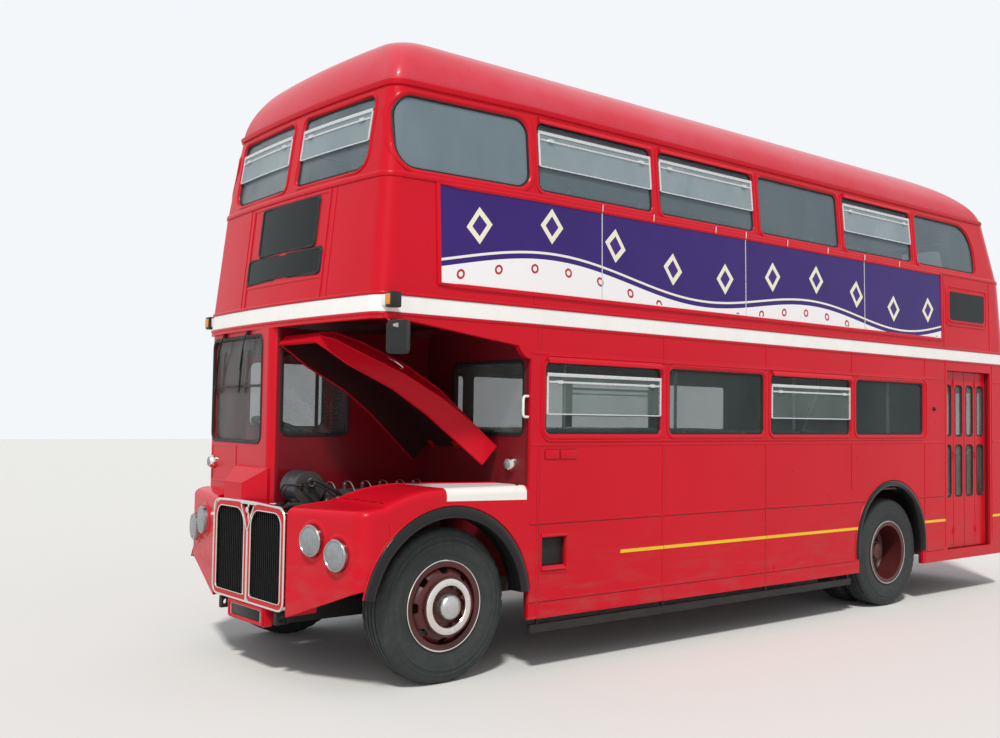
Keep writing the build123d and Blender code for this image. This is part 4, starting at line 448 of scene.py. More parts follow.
world = bpy.data.worlds.new("studio")
scene.world = world
world.use_nodes = True
tree = world.node_tree
back = tree.nodes["Background"]
pale = tree.nodes.new("ShaderNodeBackground")
pale.inputs[0].default_value = (0.90, 0.93, 0.96, 1)
pale.inputs[1].default_value = 1.0
back.inputs[0].default_value = (0.95, 0.97, 1.0, 1)
back.inputs[1].default_value = 0.50
path = tree.nodes.new("ShaderNodeLightPath")
seen = tree.nodes.new("ShaderNodeMath")
seen.operation = "MAXIMUM"
tree.links.new(path.outputs["Is Camera Ray"], seen.inputs[0])
through = tree.nodes.new("ShaderNodeMath")
through.operation = "MAXIMUM"
tree.links.new(path.outputs["Is Glossy Ray"], through.inputs[0])
tree.links.new(path.outputs["Is Transmission Ray"], through.inputs[1])
tree.links.new(through.outputs[0], seen.inputs[1])
mix = tree.nodes.new("ShaderNodeMixShader")
tree.links.new(seen.outputs[0], mix.inputs[0])
tree.links.new(back.outputs[0], mix.inputs[1])
tree.links.new(pale.outputs[0], mix.inputs[2])
tree.links.new(mix.outputs[0], tree.nodes["World Output"].inputs[0])
add_light("sun", "SUN", (9, -9, 16), (0, 0, 0), 2.6, 0.12, (1.0, 0.97, 0.92))
add_light("fill", "AREA", (10, -12, 6), (0, -1, 2), 130.0, 8.0)


# Modelling helpers
def mm(*values):
    """Pairs in metres from a flat row in millimetres."""
    return [(a / 1000, b / 1000) for a, b in zip(values[::2], values[1::2])]


def run(*values):
    """Points from a flat row of x, station and z."""
    return [Vector((x, st(s), z)) for x, s, z in zip(values[::3], values[1::3], values[2::3])]


def pick(obj):
    bpy.ops.object.select_all(action="DESELECT")
    obj.select_set(True)
    bpy.context.view_layer.objects.active = obj


def edit(obj, *steps):
    """Edit-mode operators on the whole piece."""
    pick(obj)
    bpy.ops.object.mode_set(mode="EDIT")
    bpy.ops.mesh.select_all(action="SELECT")
    for step, options in steps:
        step(**options)
    bpy.ops.object.mode_set(mode="OBJECT")


def modify(obj, kind, **settings):
    pick(obj)
    modifier = obj.modifiers.new(kind.lower(), kind)
    for key, value in settings.items():
        setattr(modifier, key, value)
    bpy.ops.object.modifier_apply(modifier=modifier.name)


CLOSE = ((bpy.ops.mesh.remove_doubles, {"threshold": 0.00002}), (bpy.ops.mesh.fill_holes, {"sides": 0}),
    (bpy.ops.mesh.normals_make_consistent, {"inside": False}))
WELD = (CLOSE[0], CLOSE[2])


def web(across, along, place, steps=CLOSE):
    """A grid whose corners are laid by place(i, j)."""
    bpy.ops.mesh.primitive_grid_add(x_subdivisions=across, y_subdivisions=along, size=2)
    obj = bpy.context.object
    for v in obj.data.vertices:
        v.co = place(round((v.co.x + 1) / 2 * across), round((v.co.y + 1) / 2 * along))
    edit(obj, *steps)
    return obj


def block(low, high, bevel=0.0):
    bpy.ops.mesh.primitive_cube_add(size=1)
    obj = bpy.context.object
    for v in obj.data.vertices:
        v.co = [low[k] if v.co[k] < 0 else high[k] for k in range(3)]
    if bevel:
        modify(obj, "BEVEL", width=bevel, segments=2, limit_method="NONE")
    return obj


def ring_frame(tangent, hint=Vector((0, 0, 1))):
    side = tangent.cross(hint)
    if side.length < 0.05:
        side = tangent.cross(Vector((1, 0.2, 0)))
    side.normalize()
    return side, side.cross(tangent).normalized()


def smooth_line(points, steps):
    """Catmull-Rom line through the points."""
    pts = [Vector(p) for p in points]
    pts = [2 * pts[0] - pts[1]] + pts + [2 * pts[-1] - pts[-2]]
    line = []
    for k in range(1, len(pts) - 2):
        a, b, c, d = pts[k - 1:k + 3]
        for i in range(steps):
            t = i / steps
            cubic = (3 * b - a - 3 * c + d) * t ** 3
            line.append(0.5 * (2 * b + (c - a) * t + (2 * a - 5 * b + 4 * c - d) * t * t + cubic))
    return line + [pts[-2]]


def pipe(points, radius, sides=10, steps=1, loop=False):
    """A round bar, hose or rail along points, smoothed where steps is over 1."""
    line = smooth_line(points, steps) if steps > 1 else [Vector(p) for p in points]
    count = len(line)
    frames = []
    side = None
    for k in range(count):
        if loop:
            tangent = (line[(k + 1) % count] - line[k - 1]).normalized()
        else:
            tangent = (line[min(k + 1, count - 1)] - line[max(k - 1, 0)]).normalized()
        if side is None:
            side, up = ring_frame(tangent)
        else:
            side = (side - tangent * side.dot(tangent)).normalized()
            up = side.cross(tangent).normalized()
        frames.append((side, up))

    def lay(i, j):
        k = j % count if loop else j
        a = 2 * math.pi * i / sides
        return line[k] + (frames[k][0] * math.cos(a) + frames[k][1] * math.sin(a)) * radius

    return web(sides, count if loop else count - 1, lay)


def turned(profile, centre, axis, segments=32):
    """A lathe shape: profile pairs are (distance along axis, radius)."""
    axis = Vector(axis).normalized()
    side, up = ring_frame(axis, Vector((0, 0, 1)) if abs(axis.z) < 0.9 else Vector((0, 1, 0)))
    centre = Vector(centre)

    def lay(i, j):
        a = 2 * math.pi * i / segments
        return centre + axis * profile[j][0] + (side * math.cos(a) + up * math.sin(a)) * profile[j][1]

    return web(segments, len(profile) - 1, lay)


def rounded(u0, u1, v0, v1, radii, inset=0.0, steps=6):
    """Closed outline of a rectangle with one radius or one for each corner, taken in by inset.
    The corners run low-low, high-low, high-high, low-high."""
    radii = radii if isinstance(radii, tuple) else (radii,) * 4
    points = []
    for (cu, cv), (su, sv), r, start in zip(((u0, v0), (u1, v0), (u1, v1), (u0, v1)),
            ((1, 1), (-1, 1), (-1, -1), (1, -1)), radii, (180, 270, 0, 90)):
        r = max(r, 0.001)
        cu, cv = cu + su * r, cv + sv * r
        for k in range(steps + 1):
            a = math.radians(start + 90 * k / steps)
            points.append((cu + (r - inset) * math.cos(a), cv + (r - inset) * math.sin(a)))
    return points


def rim(rect, radii, section, place):
    """A frame round a window: section pairs are (taken in, stood out) from the opening's edge."""
    loops = [rounded(*rect, radii, inset) for inset, _ in section]
    count = len(loops[0])

    def lay(i, j):
        k = i % len(section)
        u, v = loops[k][j % count]
        return place(u, v, section[k][1])

    return web(len(section), count, lay)


def slab_on(points, level, thick, place):
    """A flat outline given by its (u, v) corners, thickened outwards."""
    bpy.ops.mesh.primitive_circle_add(vertices=len(points), fill_type="NGON")
    obj = bpy.context.object
    for v, (a, b) in zip(obj.data.vertices, points):
        v.co = place(a, b, level)
    normal = (place(*points[0], level + 1) - place(*points[0], level)).normalized()
    edit(obj, (bpy.ops.mesh.extrude_region_move, {"TRANSFORM_OT_translate": {"value": normal * thick}}),
        (bpy.ops.mesh.select_all, {"action": "SELECT"}), CLOSE[2])
    return obj


def bar(line, section, place, loop=False):
    """A moulding along a line of (u, v); section pairs are (sideways, stood out)."""
    count = len(line)
    sides = []
    for k in range(count):
        a = line[k - 1] if (k or loop) else line[0]
        b = line[(k + 1) % count] if (k < count - 1 or loop) else line[-1]
        length = math.hypot(b[0] - a[0], b[1] - a[1]) or 1.0
        sides.append((-(b[1] - a[1]) / length, (b[0] - a[0]) / length))

    def lay(i, j):
        s, h = section[i % len(section)]
        k = j % count
        return place(line[k][0] + sides[k][0] * s, line[k][1] + sides[k][1] * s, h)

    return web(len(section), count if loop else count - 1, lay)


def join(parts):
    """Makes one object of a list of parts."""
    pick(parts[0])
    for part in parts[1:]:
        part.select_set(True)
    if len(parts) > 1:
        bpy.ops.object.join()
    return parts[0]


def copy(obj, matrix):
    """A copy with its own mesh, moved by matrix."""
    twin = obj.copy()
    twin.data = obj.data.copy()
    scene.collection.objects.link(twin)
    twin.data.transform(matrix)
    if matrix.determinant() < 0:
        twin.data.flip_normals()
    return twin


def both(parts):
    """The nearside parts as one, and their mirrored twin."""
    near = join(parts)
    return [near, copy(near, Matrix.Diagonal((-1, 1, 1, 1)))]


SMOOTH_ANGLE = math.radians(38)


def fit(name, parts, finish, body=BODY, instead=(), smooth=True):
    """One named piece of the parts, with its finish and body; it hides the solids that it stands for."""
    obj = join(parts) if isinstance(parts, list) else parts
    obj.name = name
    pick(obj)
    if smooth:
        bpy.ops.object.shade_smooth_by_angle(angle=SMOOTH_ANGLE)
    obj.data.materials.clear()
    obj.data.materials.append(FINISH[finish])
    if instead:
        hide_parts(*instead)
    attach(obj, body)
    return obj


# Surfaces of the coachwork
# Each row: height, half width, half width in front, stations of the front's middle and of its corner,
# station of the rear, radii of the front and rear corners
DECK = [
    (2.300, BODY_SIDE, 1.205, -0.690, -0.615, 7.516, 0.120, 0.300),
    (3.190, 1.205, 1.145, -0.593, -0.533, 7.396, 0.110, 0.300),
    (3.815, 1.150, 1.080, -0.500, -0.445, 7.171, 0.110, 0.300),
    (3.880, 1.142, 1.074, -0.492, -0.437, 7.121, 0.115, 0.300),
    (3.950, 1.120, 1.056, -0.472, -0.417, 7.038, 0.125, 0.300),
    (4.020, 1.072, 1.022, -0.443, -0.388, 6.926, 0.140, 0.310),
    (4.090, 1.000, 0.970, -0.402, -0.347, 6.776, 0.160, 0.320),
    (4.155, 0.905, 0.895, -0.345, -0.295, 6.576, 0.180, 0.330),
    (4.215, 0.790, 0.785, -0.252, -0.207, 6.346, 0.195, 0.330),
    (4.270, 0.650, 0.640, -0.120, -0.080, 6.076, 0.200, 0.310),
    (4.320, 0.480, 0.472, 0.075, 0.105, 5.756, 0.190, 0.270),
]
TAPER_END = 0.620


def deck_at(z):
    for low, high in zip(DECK, DECK[1:]):
        if z <= high[0]:
            break
    t = (z - low[0]) / (high[0] - low[0])
    return [a + (b - a) * t for a, b in zip(low, high)]


def front_y(x, z):
    """y of the upper deck's bowed front."""
    _, _, half, middle, corner, *_ = deck_at(z)
    rise = corner - middle
    radius = (half * half + rise * rise) / (2 * rise)
    return st(middle) + radius - math.sqrt(radius * radius - x * x)


def beside(station, z, out):
    """Station and x on the upper deck's side, which turns round the front corner."""
    _, half, half_front, middle, corner, _, r, _ = deck_at(z)
    slope = (half - half_front) / (TAPER_END - corner)
    along = Vector((slope, 1.0)).normalized()
    inward = Vector((-1.0, -2 * (corner - middle) / half_front)).normalized()
    halfway = (along + inward).normalized()
    centre = Vector((half_front, corner)) + halfway * (r / math.sin(along.angle(inward) / 2))
    first = math.asin(along.x)
    if station >= centre.y - r * math.sin(first):
        x = half if station >= TAPER_END else half_front + slope * (station - corner)
        return station, x + out
    turn = math.asin(min((centre.y - station) / r, 0.995))
    return centre.y - (r + out) * math.sin(turn), centre.x + (r + out) * math.cos(turn)


def on_lower(u, v, h):
    return Vector((BODY_SIDE + h, st(u), v))


def on_upper(u, v, h):
    station, x = beside(u, v, h)
    return Vector((x, st(station), v))


def on_front(u, v, h):
    return Vector((u, front_y(u, v) - h, v))


def plan_line(z, out=0.0):
    """Closed outline of the upper deck at height z, stood out by a little."""
    _, half, half_front, middle, corner, rear, front_r, rear_r = deck_at(z)
    t = max(TAPER_END, corner + 0.2)
    bow = [x * half_front for x in (-0.75, -0.5, -0.25, 0, 0.25, 0.5, 0.75)]
    corners = [((-half_front, st(corner)), front_r)] + [((x, front_y(x, z)), 0) for x in bow]
    corners += [((half_front, st(corner)), front_r), ((half, st(t)), 0), ((half, st(rear)), rear_r),
        ((-half, st(rear)), rear_r), ((-half, st(t)), 0)]
    line = []
    count = len(corners)
    for k, (p, r) in enumerate(corners):
        p = Vector((*p, 0))
        if not r:
            line.append(p)
            continue
        a = (Vector((*corners[k - 1][0], 0)) - p).normalized()
        b = (Vector((*corners[(k + 1) % count][0], 0)) - p).normalized()
        half_angle = a.angle(b) / 2
        reach = r / math.tan(half_angle)
        centre = p + (a + b).normalized() * (r / math.sin(half_angle))
        start, end = p + a * reach - centre, p + b * reach - centre
        sweep = start.angle(end)
        for i in range(9):
            f = i / 8
            reached = start * math.sin((1 - f) * sweep) + end * math.sin(f * sweep)
            line.append(centre + reached / math.sin(sweep))
    result = []
    for k, p in enumerate(line):
        tangent = (line[(k + 1) % len(line)] - line[k - 1]).normalized()
        result.append(Vector((p.x + tangent.y * out, p.y - tangent.x * out, z)))
    return result


def girdle(section):
    """A moulding round the upper deck: section pairs are (height, stood out)."""
    loops = [plan_line(z, out) for z, out in section]
    count = len(loops[0])
    return web(len(section), count, lambda i, j: loops[i % len(section)][j % count])


# Mouldings round the coachwork
GUTTER = mm(3802, -4, 3804, 12, 3822, 22, 3836, 23, 3840, 18, 3828, 8, 3848, -8)
GUTTER_END = st(6.95)
loops = [[p for p in plan_line(z, out) if p.y < GUTTER_END] for z, out in GUTTER]
turn_at = max(range(len(loops[0])), key=lambda k: loops[0][k].y + (loops[0][k].x < 0) * 0.001)
loops = [loop[turn_at + 1:] + loop[:turn_at + 1] if loop[turn_at].x > 0 else loop[turn_at:] + loop[:turn_at]
    for loop in loops]
fit("gutter", web(len(GUTTER), len(loops[0]) - 1, lambda i, j: loops[i % len(GUTTER)][j]), "red")
GIRDLES = {
    "upper_waist_bead": mm(3196, -4, 3198, 7, 3206, 11, 3226, 11, 3234, 6, 3236, -4),
    "band_top_bead": mm(2449, -3, 2450, 6, 2456, 9, 2463, 9, 2469, 5, 2470, -3),
    "band_bottom_bead": mm(2322, -3, 2324, 5, 2330, 8, 2336, 8, 2341, 5, 2342, -3),
}
for name, section in GIRDLES.items():
    fit(name, girdle(section), "red")

STRIP = mm(-9, -2, -8, 3, -4, 4.5, 4, 4.5, 8, 3, 9, -2)
# Thin dark line beside each lower strip, below the level ones and behind the upright ones: painted shadow of
# the strip.
STRIP_SHADOW = mm(-13.5, -1, -13.5, 1.2, -8.5, 1.2, -8.5, -1)
BEAD = mm(-11, -2, -11, 2, -5, 5, 5, 5, 11, 2, 11, -2)
WINDOW = [(0.735 + 1.25 * k, 1.905 + 1.25 * k, 1.590, 2.100) for k in range(4)]


def clear_of_cab_door(parts):
    """Presses what the cab door slides over, on the offside, down to 3.5 mm."""
    obj = join(parts)
    limit = -BODY_SIDE - 0.0035
    for v in obj.data.vertices:
        if v.co.x < limit and v.co.y < st(2.0) and 1.17 < v.co.z < 2.23:
            v.co.x = limit
    return obj


parts, strip_shadows = [], []
for z, start, end in ((0.480, 0.606, 4.47), (0.480, 5.71, 6.04), (1.000, 0.606, 4.63), (1.000, 5.55, 6.04),
        (1.526, 0.606, 6.04), (2.147, 0.606, 6.04), (2.147, 7.04, 7.26), (1.526, 7.04, 7.26)):
    parts.append(bar([(start, z), (end, z)], BEAD if z in (1.526, 2.147) else STRIP, on_lower))
    if z < 1.2:
        strip_shadows.append(bar([(start, z), (end, z)], STRIP_SHADOW, on_lower))
for k in range(5):
    s = 0.675 + 1.25 * k
    low = 0.362 if k != 3 else 1.10
    for start, end in ((low, 1.52), (2.153, 2.322)):
        parts.append(bar([(s, start), (s, end)], STRIP, on_lower))
        strip_shadows.append(bar([(s, start), (s, end)], STRIP_SHADOW, on_lower))
# Painted shadow lines beside the lower strips
fit("panel_strip_shadows", both(strip_shadows), "dark_line")
by_entrance = [bar([(s, 0.50), (s, 2.322)], STRIP, on_lower) for s in (6.068, 7.02)]
fit("lower_panel_strips", clear_of_cab_door(both(parts) + by_entrance), "red")

parts = []
for s, low, high in ((0.632, 2.474, 3.19), (1.875, 3.24, 3.76), (3.096, 3.24, 3.76), (4.320, 3.24, 3.76),
        (5.545, 3.24, 3.76), (6.055, 2.474, 3.19), (6.985, 2.474, 3.19), (0.640, 3.24, 3.76)):
    parts.append(bar([(s, low + (high - low) * i / 6) for i in range(7)], STRIP, on_upper))
fit("upper_panel_strips", both(parts), "red")

# One raised border round the four lower windows, and a pressed rim in each opening
border = rounded(0.700, 5.700, 1.553, 2.135, 0.085, 0.0, 8)
ring = bar(border, mm(-9, -2, -7, 6, 0, 10, 7, 6, 9, -2), on_lower, True)
fit("lower_window_border", clear_of_cab_door(both([ring])), "red")
PAN = mm(-30, -3, -26, 6, -14, 9, -4, 6, 12, -12, 14, -18, -2, -20)
SEAL = mm(6, -16, 7, -7, 16, -7, 21, -17)
fit("lower_window_pans", clear_of_cab_door(both([rim(rect, 0.055, PAN, on_lower) for rect in WINDOW])), "red")
fit("lower_window_seals", both([rim(rect, 0.055, SEAL, on_lower) for rect in WINDOW]), "rubber")

HIGH, LOW = 3.752, 3.255
UPPER = [(-0.472, 0.606, LOW, HIGH)] + [(0.671 + 1.22375 * k, 1.821 + 1.22375 * k, LOW, HIGH) for k in range(4)]
UPPER.append((5.580, 6.720, LOW, HIGH))
UPPER_R = [(0.160, 0.120, 0.120, 0.160)] + [0.060] * 4 + [(0.060, 0.060, 0.330, 0.060)]
FRONT_PANES = [(0.068, 0.915, 3.268, 3.760), (-0.915, -0.068, 3.268, 3.760)]
FRONT_R = [(0.050, 0.110, 0.060, 0.050), (0.110, 0.050, 0.050, 0.060)]
FRONT_PAN = [(a * 0.7, b) for a, b in PAN]


def rims(rects, radii, section, place):
    return [rim(rect, r, section, place) for rect, r in zip(rects, radii)]


fit("upper_window_pans", both(rims(UPPER, UPPER_R, PAN, on_upper)), "red")
fit("upper_window_seals", both(rims(UPPER, UPPER_R, SEAL, on_upper)), "rubber")
fit("front_window_pans", rims(FRONT_PANES, FRONT_R, FRONT_PAN, on_front), "red")
fit("front_window_seals", rims(FRONT_PANES, FRONT_R, SEAL, on_front), "rubber")


def dropped_light(rect, place, gap, fall, hood=True):
    """A top light let down a little: rails, side channels, catches, the lowered pane, and its hood outside."""
    u0, u1, v0, v1 = rect
    top = v1 - gap
    rail = mm(-12, -12, -12, 3, -4, 6, 4, 6, 12, 3, 12, -12)
    side_rail = [(a * 0.8, b) for a, b in rail]
    thin_rail = [(a * 0.55, b * 0.8) for a, b in rail]
    spans = 8

    def line(v, inset):
        return [(u0 + inset + (u1 - u0 - 2 * inset) * i / spans, v) for i in range(spans + 1)]

    rails = [bar(line(top, 0.012), rail, place), bar(line(top - 0.050, 0.030), thin_rail, place)]
    rails += [bar([(u, top - 0.01), (u, top - fall)], side_rail, place) for u in (u0 + 0.018, u1 - 0.018)]
    rails += [bar([(u, top - 0.049), (u + 0.05, top - 0.049)], mm(-11, 0, -11, 12, 11, 12, 11, 0), place)
        for u in (u0 + 0.10, u1 - 0.14)]
    edge = bar(line(top - fall, 0.02), mm(-4, -6, -4, 1, 4, 1, 4, -6), place)
    half = fall / 2
    sheet = [(-half, -0.006), (-half, -0.001), (half, -0.001), (half, -0.006)]
    pane = bar(line((2 * top - fall) / 2, 0.022), sheet, place)
    hoods = []
    if hood:
        hoods.append(bar(line(v1 + 0.006, 0.012), mm(-4, 4, -16, 22, -22, 30, -14, 30, 4, 22, 22, 4), place))
    return {"rails": rails, "hoods": hoods, "panes": [pane], "edges": [edge]}


def gather(lights, kind):
    return [part for light in lights for part in light[kind]]


# The first lower window has its top light on the nearside only: the cab door slides over the offside one
first = dropped_light(WINDOW[0], on_lower, 0.095, 0.27)
lower = [dropped_light(WINDOW[2], on_lower, 0.095, 0.27)]
fit("lower_top_light_panes", both(gather(lower, "panes")) + first["panes"], "glass_low")
upper = [dropped_light(rect, on_upper, 0.075, 0.24) for rect in (UPPER[1], UPPER[2], UPPER[4])]
fit("upper_top_light_panes", both(gather(upper, "panes")), "glass_sky")
for kind, finish in (("rails", "aluminium"), ("hoods", "red"), ("edges", "aluminium")):
    fit("top_light_" + kind, both(gather(lower + upper, kind)) + first[kind], finish)
front = [dropped_light(rect, on_front, 0.100, 0.20, False) for rect in FRONT_PANES]
for kind, finish in (("rails", "aluminium"), ("panes", "glass_sky"), ("edges", "aluminium")):
    fit("front_light_" + kind, gather(front, kind), finish)

# Advertisement panels along both sides between the decks, of a made-up pattern
AD = (-0.150, 5.990, 2.555, 3.180)


def ad_paint():
    """Deep purple with a white wave, and rows of plain kites and rings."""
    p = Paint("side_poster")
    along = p.y - FRONT_AXLE
    crest = 2.66 + 0.085 * (along * 2.05).apply("SINE") + 0.045 * (along * 0.9 + 0.7).apply("SINE")
    wave = p.z < crest
    thin = p.between(p.z, crest + 0.035, crest + 0.052)
    cell = ((along + 0.15) / 0.62).apply("FRACT") - 0.5
    from_kite = abs(cell) * 0.62 + abs(p.z - (crest + 0.235)) * 0.85
    kite, core = from_kite < 0.105, from_kite < 0.060
    du = (((along + 0.46) / 0.31).apply("FRACT") - 0.5) * 0.31
    dv = p.z - (crest - 0.068)
    from_ring = du * du + dv * dv
    dot, eye = from_ring < 0.0011, from_ring < 0.0003
    purple = p.blend(p.noise(3.0, 4), (0.028, 0.011, 0.125), (0.042, 0.017, 0.165))
    colour = p.blend(kite * (1 - wave), purple, (0.78, 0.76, 0.60))
    colour = p.blend(core * (1 - wave), colour, (0.05, 0.02, 0.18))
    colour = p.blend(thin, colour, (0.78, 0.76, 0.70))
    colour = p.blend(wave, colour, (0.82, 0.81, 0.82))
    colour = p.blend(dot * (p.z > 2.566), colour, (0.42, 0.03, 0.05))
    colour = p.blend(eye * (p.z > 2.566), colour, (0.82, 0.81, 0.82))
    return p.set(Base_Color=colour, Roughness=0.34 + 0.08 * p.noise(12.0), Specular_IOR_Level=0.2,
        Normal=p.bump(p.noise(1.5, 2), 0.01, 0.15))


FINISH["poster"] = ad_paint()
POSTER_STEPS = 48


def poster(i, j):
    u = AD[0] + (AD[1] - AD[0]) * i / POSTER_STEPS
    return on_upper(u, (AD[2], AD[3], AD[3], AD[2])[j % 4], (0.0, 0.0, 0.006, 0.006)[j % 4])


fit("side_posters", both([web(POSTER_STEPS, 4, poster)]), "poster")
frame_line = [(AD[0] + (AD[1] - AD[0]) * i / 40, AD[2] - 0.012) for i in range(41)]
frame_line += [(AD[1] - (AD[1] - AD[0]) * i / 40, AD[3] + 0.012) for i in range(41)]
frame_line = [(u + (0.012 if u > 5.9 else -0.012 if u < -0.1 else 0), v) for u, v in frame_line]
fit("side_poster_frames", both([bar(frame_line, mm(-16, 0, -14, 12, 0, 16, 14, 11, 16, 0), on_upper, True)]),
    "red")
parts = [bar([(u, AD[2]), (u, AD[3])], mm(-5, 4, -4, 9, 4, 9, 5, 4), on_upper) for u in (1.262, 2.90, 4.63)]
for u in (1.262, 1.80, 2.52, 2.90, 3.46, 4.05, 4.63, 5.22):
    parts.append(pipe([on_upper(u, 3.186, 0.012), on_upper(u, 3.215, 0.018), on_upper(u + 0.004, 3.236, 0.016),
        on_upper(u + 0.014, 3.243, 0.012)], 0.0035, 6))
fit("side_poster_clips", both(parts), "aluminium")

# Route boxes: black glass with nothing shown
def face_sheet(rect, place, level, count=12):
    """A sheet laid on a bowed face."""
    u0, u1, v0, v1 = rect

    def lay(i, j):
        k = j % 4
        return place(u0 + (u1 - u0) * i / count, (v0, v1, v1, v0)[k], level if k < 2 else level + 0.004)

    return web(count, 4, lay)


FRONT_BLINDS = ((-0.340, 0.430, 2.832, 3.154), (-0.485, 0.520, 2.642, 2.799))
fit("front_blinds", [face_sheet(rect, on_front, 0.001) for rect in FRONT_BLINDS], "blind")
fit("front_blind_rims", rims(FRONT_BLINDS, (0.022, 0.022), mm(6, 3, 2, 11, -12, 11, -18, 0), on_front),
    "rubber")
RAISED = mm(-10, -2, -8, 6, 0, 8, 8, 6, 10, -2)
UPRIGHT_LOW, UPRIGHT_HIGH = 2.47, 3.19


def front_upright(u, section):
    line = [(u, UPRIGHT_LOW + (UPRIGHT_HIGH - UPRIGHT_LOW) * i / 8) for i in range(9)]
    return bar(line, section, on_front)


parts = [front_upright(u, RAISED) for u in (-0.505, 0.560)]
for v, section in ((2.606, STRIP), (3.178, BEAD)):
    parts.append(bar([(-0.505 + 1.065 * i / 10, v) for i in range(11)], section, on_front))
parts += [front_upright(u, STRIP) for u in (0.625, -0.570)]
fit("front_panel_seams", parts, "red")
REAR_BLIND = (6.150, 6.870, 2.745, 3.043)
fit("side_blind", face_sheet(REAR_BLIND, on_upper, 0.001, 4), "blind")
parts = [rim(REAR_BLIND, 0.03, mm(8, 2, 3, 10, -12, 10, -20, 0), on_upper),
    rim((6.105, 6.915, 2.700, 3.088), 0.04, mm(10, 0, 6, 8, -6, 8, -10, 0), on_upper)]
fit("side_blind_rims", parts, "red")

# Road wheels: bright rings, caps and rim lines
WHEEL_Z, FRONT_WHEEL_X, REAR_WHEEL_X, TWIN_SHIFT = 0.497, 0.985, 0.892, 0.146
RIM_LINE = mm(104, 283, 113, 283.5, 115.5, 288, 112.5, 292.5, 104, 292, 104, 283)
CAP = mm(120, 0, 120, 80, 170, 80, 184, 76, 196, 61, 203, 42, 205.5, 36, 206.5, 20, 205.5, 0)
GUARD = mm(148, 132, 160, 131, 166, 136, 167.5, 150, 166, 170, 160, 177, 148, 176, 148, 132)
NUT = mm(166, 0, 166, 8.5, 171, 8.5, 173, 6, 173, 0)
for side, hand in HANDS:
    hub = (side * FRONT_WHEEL_X, FRONT_AXLE, WHEEL_Z)
    axis = (side, 0, 0)
    body = "front_wheel_" + hand
    fit("front_wheel_ring_" + hand, [turned(GUARD, hub, axis, 64), turned(RIM_LINE, hub, axis, 64)], "chrome",
        body)
    fit("front_hub_cap_" + hand, turned(CAP, hub, axis, 48), "steel_bright", body)
    parts = []
    for k in range(8):
        a = math.pi / 4 * k + 0.2
        y, z = FRONT_AXLE + 0.154 * math.cos(a), WHEEL_Z + 0.154 * math.sin(a)
        parts.append(turned(NUT, (side * FRONT_WHEEL_X, y, z), axis, 8))
    fit("front_ring_nuts_" + hand, parts, "chrome", body)
    line = [(a + TWIN_SHIFT, r) for a, r in RIM_LINE]
    rear_hub = (side * REAR_WHEEL_X, REAR_AXLE, WHEEL_Z)
    fit("rear_rim_line_" + hand, turned(line, rear_hub, axis, 64), "steel_bright", "rear_wheels_" + hand)

# Tyres with ribs and shoulder slots
HALF_TYRE = mm(97, 263, 104, 272, 106, 284, 101, 296, 106, 318, 117, 342, 123.5, 364, 125.5, 384, 123.5, 402,
    125, 404.5, 124.5, 411, 121.5, 413, 117.5, 432, 119.2, 435, 118.5, 442, 115.5, 444, 111, 462, 106.5, 476,
    98.5, 487, 88, 494.5, 66, 495.8, 64, 484, 56, 484, 54, 496.2, 24, 496.8, 22, 485, 14, 485, 12, 496.8)
TYRE = HALF_TYRE + [(-a, r) for a, r in reversed(HALF_TYRE)]
TYRE.append(TYRE[0])
TYRE_SEGMENTS = 160


def tyre(centre, slots):
    """A tyre with a slot at its shoulder in every slots-th segment."""
    def lay(i, j):
        a, r = TYRE[j]
        if i % slots == 0 and abs(a) > 0.080 and r > 0.470:
            r -= 0.007
        t = 2 * math.pi * i / TYRE_SEGMENTS
        return Vector((centre[0] + a, centre[1] + r * math.cos(t), centre[2] + r * math.sin(t)))

    return web(TYRE_SEGMENTS, len(TYRE) - 1, lay)


for side, hand in HANDS:
    fit("front_tyre_" + hand, tyre((side * FRONT_WHEEL_X, FRONT_AXLE, WHEEL_Z), 4), "tyre",
        "front_wheel_" + hand, ("tyre_front_" + hand,))
    twins = [tyre((side * (REAR_WHEEL_X + shift), REAR_AXLE, WHEEL_Z), 3)
        for shift in (TWIN_SHIFT, -TWIN_SHIFT)]
    fit("rear_tyres_" + hand, twins, "tyre", "rear_wheels_" + hand, ("tyres_rear_" + hand,))

# Lamps
FACE_OUT = Vector((0.1835, -0.983, 0.0))


def wing_face(x, z):
    return Vector((x, st(-0.832 + (abs(x) - 0.528) / 0.691 * 0.129), z))


HEADLAMP = {
    "headlamp_dishes": ("red", mm(-6, 101, 6, 101, 9, 106, 8, 116, 4, 126, -6, 136, -6, 101), 40),
    "headlamp_bezels": ("rim_chrome",
        mm(20, 81, 36, 81, 41, 85, 41, 92, 34, 99, 12, 100.8, 10, 98, 20, 81), 40),
    "headlamp_lenses": ("lens", mm(34, 0, 34, 84, 37, 84, 43, 68, 47, 46, 49, 22, 49.5, 0), 36),
    "headlamp_bulb_caps": ("steel_bright", mm(34, 0, 34, 30, 40.5, 26, 42.5, 14, 43, 0), 24),
}
SIDE_LAMP = {
    "side_lamp_rims": ("chrome", mm(0, 34, 0, 52, 12, 52, 30, 46, 44, 40, 46, 34, 0, 34), 28),
    "side_lamp_glasses": ("lens", mm(36, 0, 36, 37, 43, 36, 50, 26, 54, 12, 55, 0), 24),
}
REAR_LAMP = {
    "rear_lamp_lenses": ("red_lens", mm(6, 0, 6, 50, 18, 50, 27, 40, 32, 22, 33, 0), 28),
    "rear_lamp_rims": ("chrome", mm(0, 49, 0, 60, 12, 60, 20, 54, 19, 49, 0, 49), 28),
}
CAB_SLOPE = Vector((-0.0920, -0.9958, 0.0))
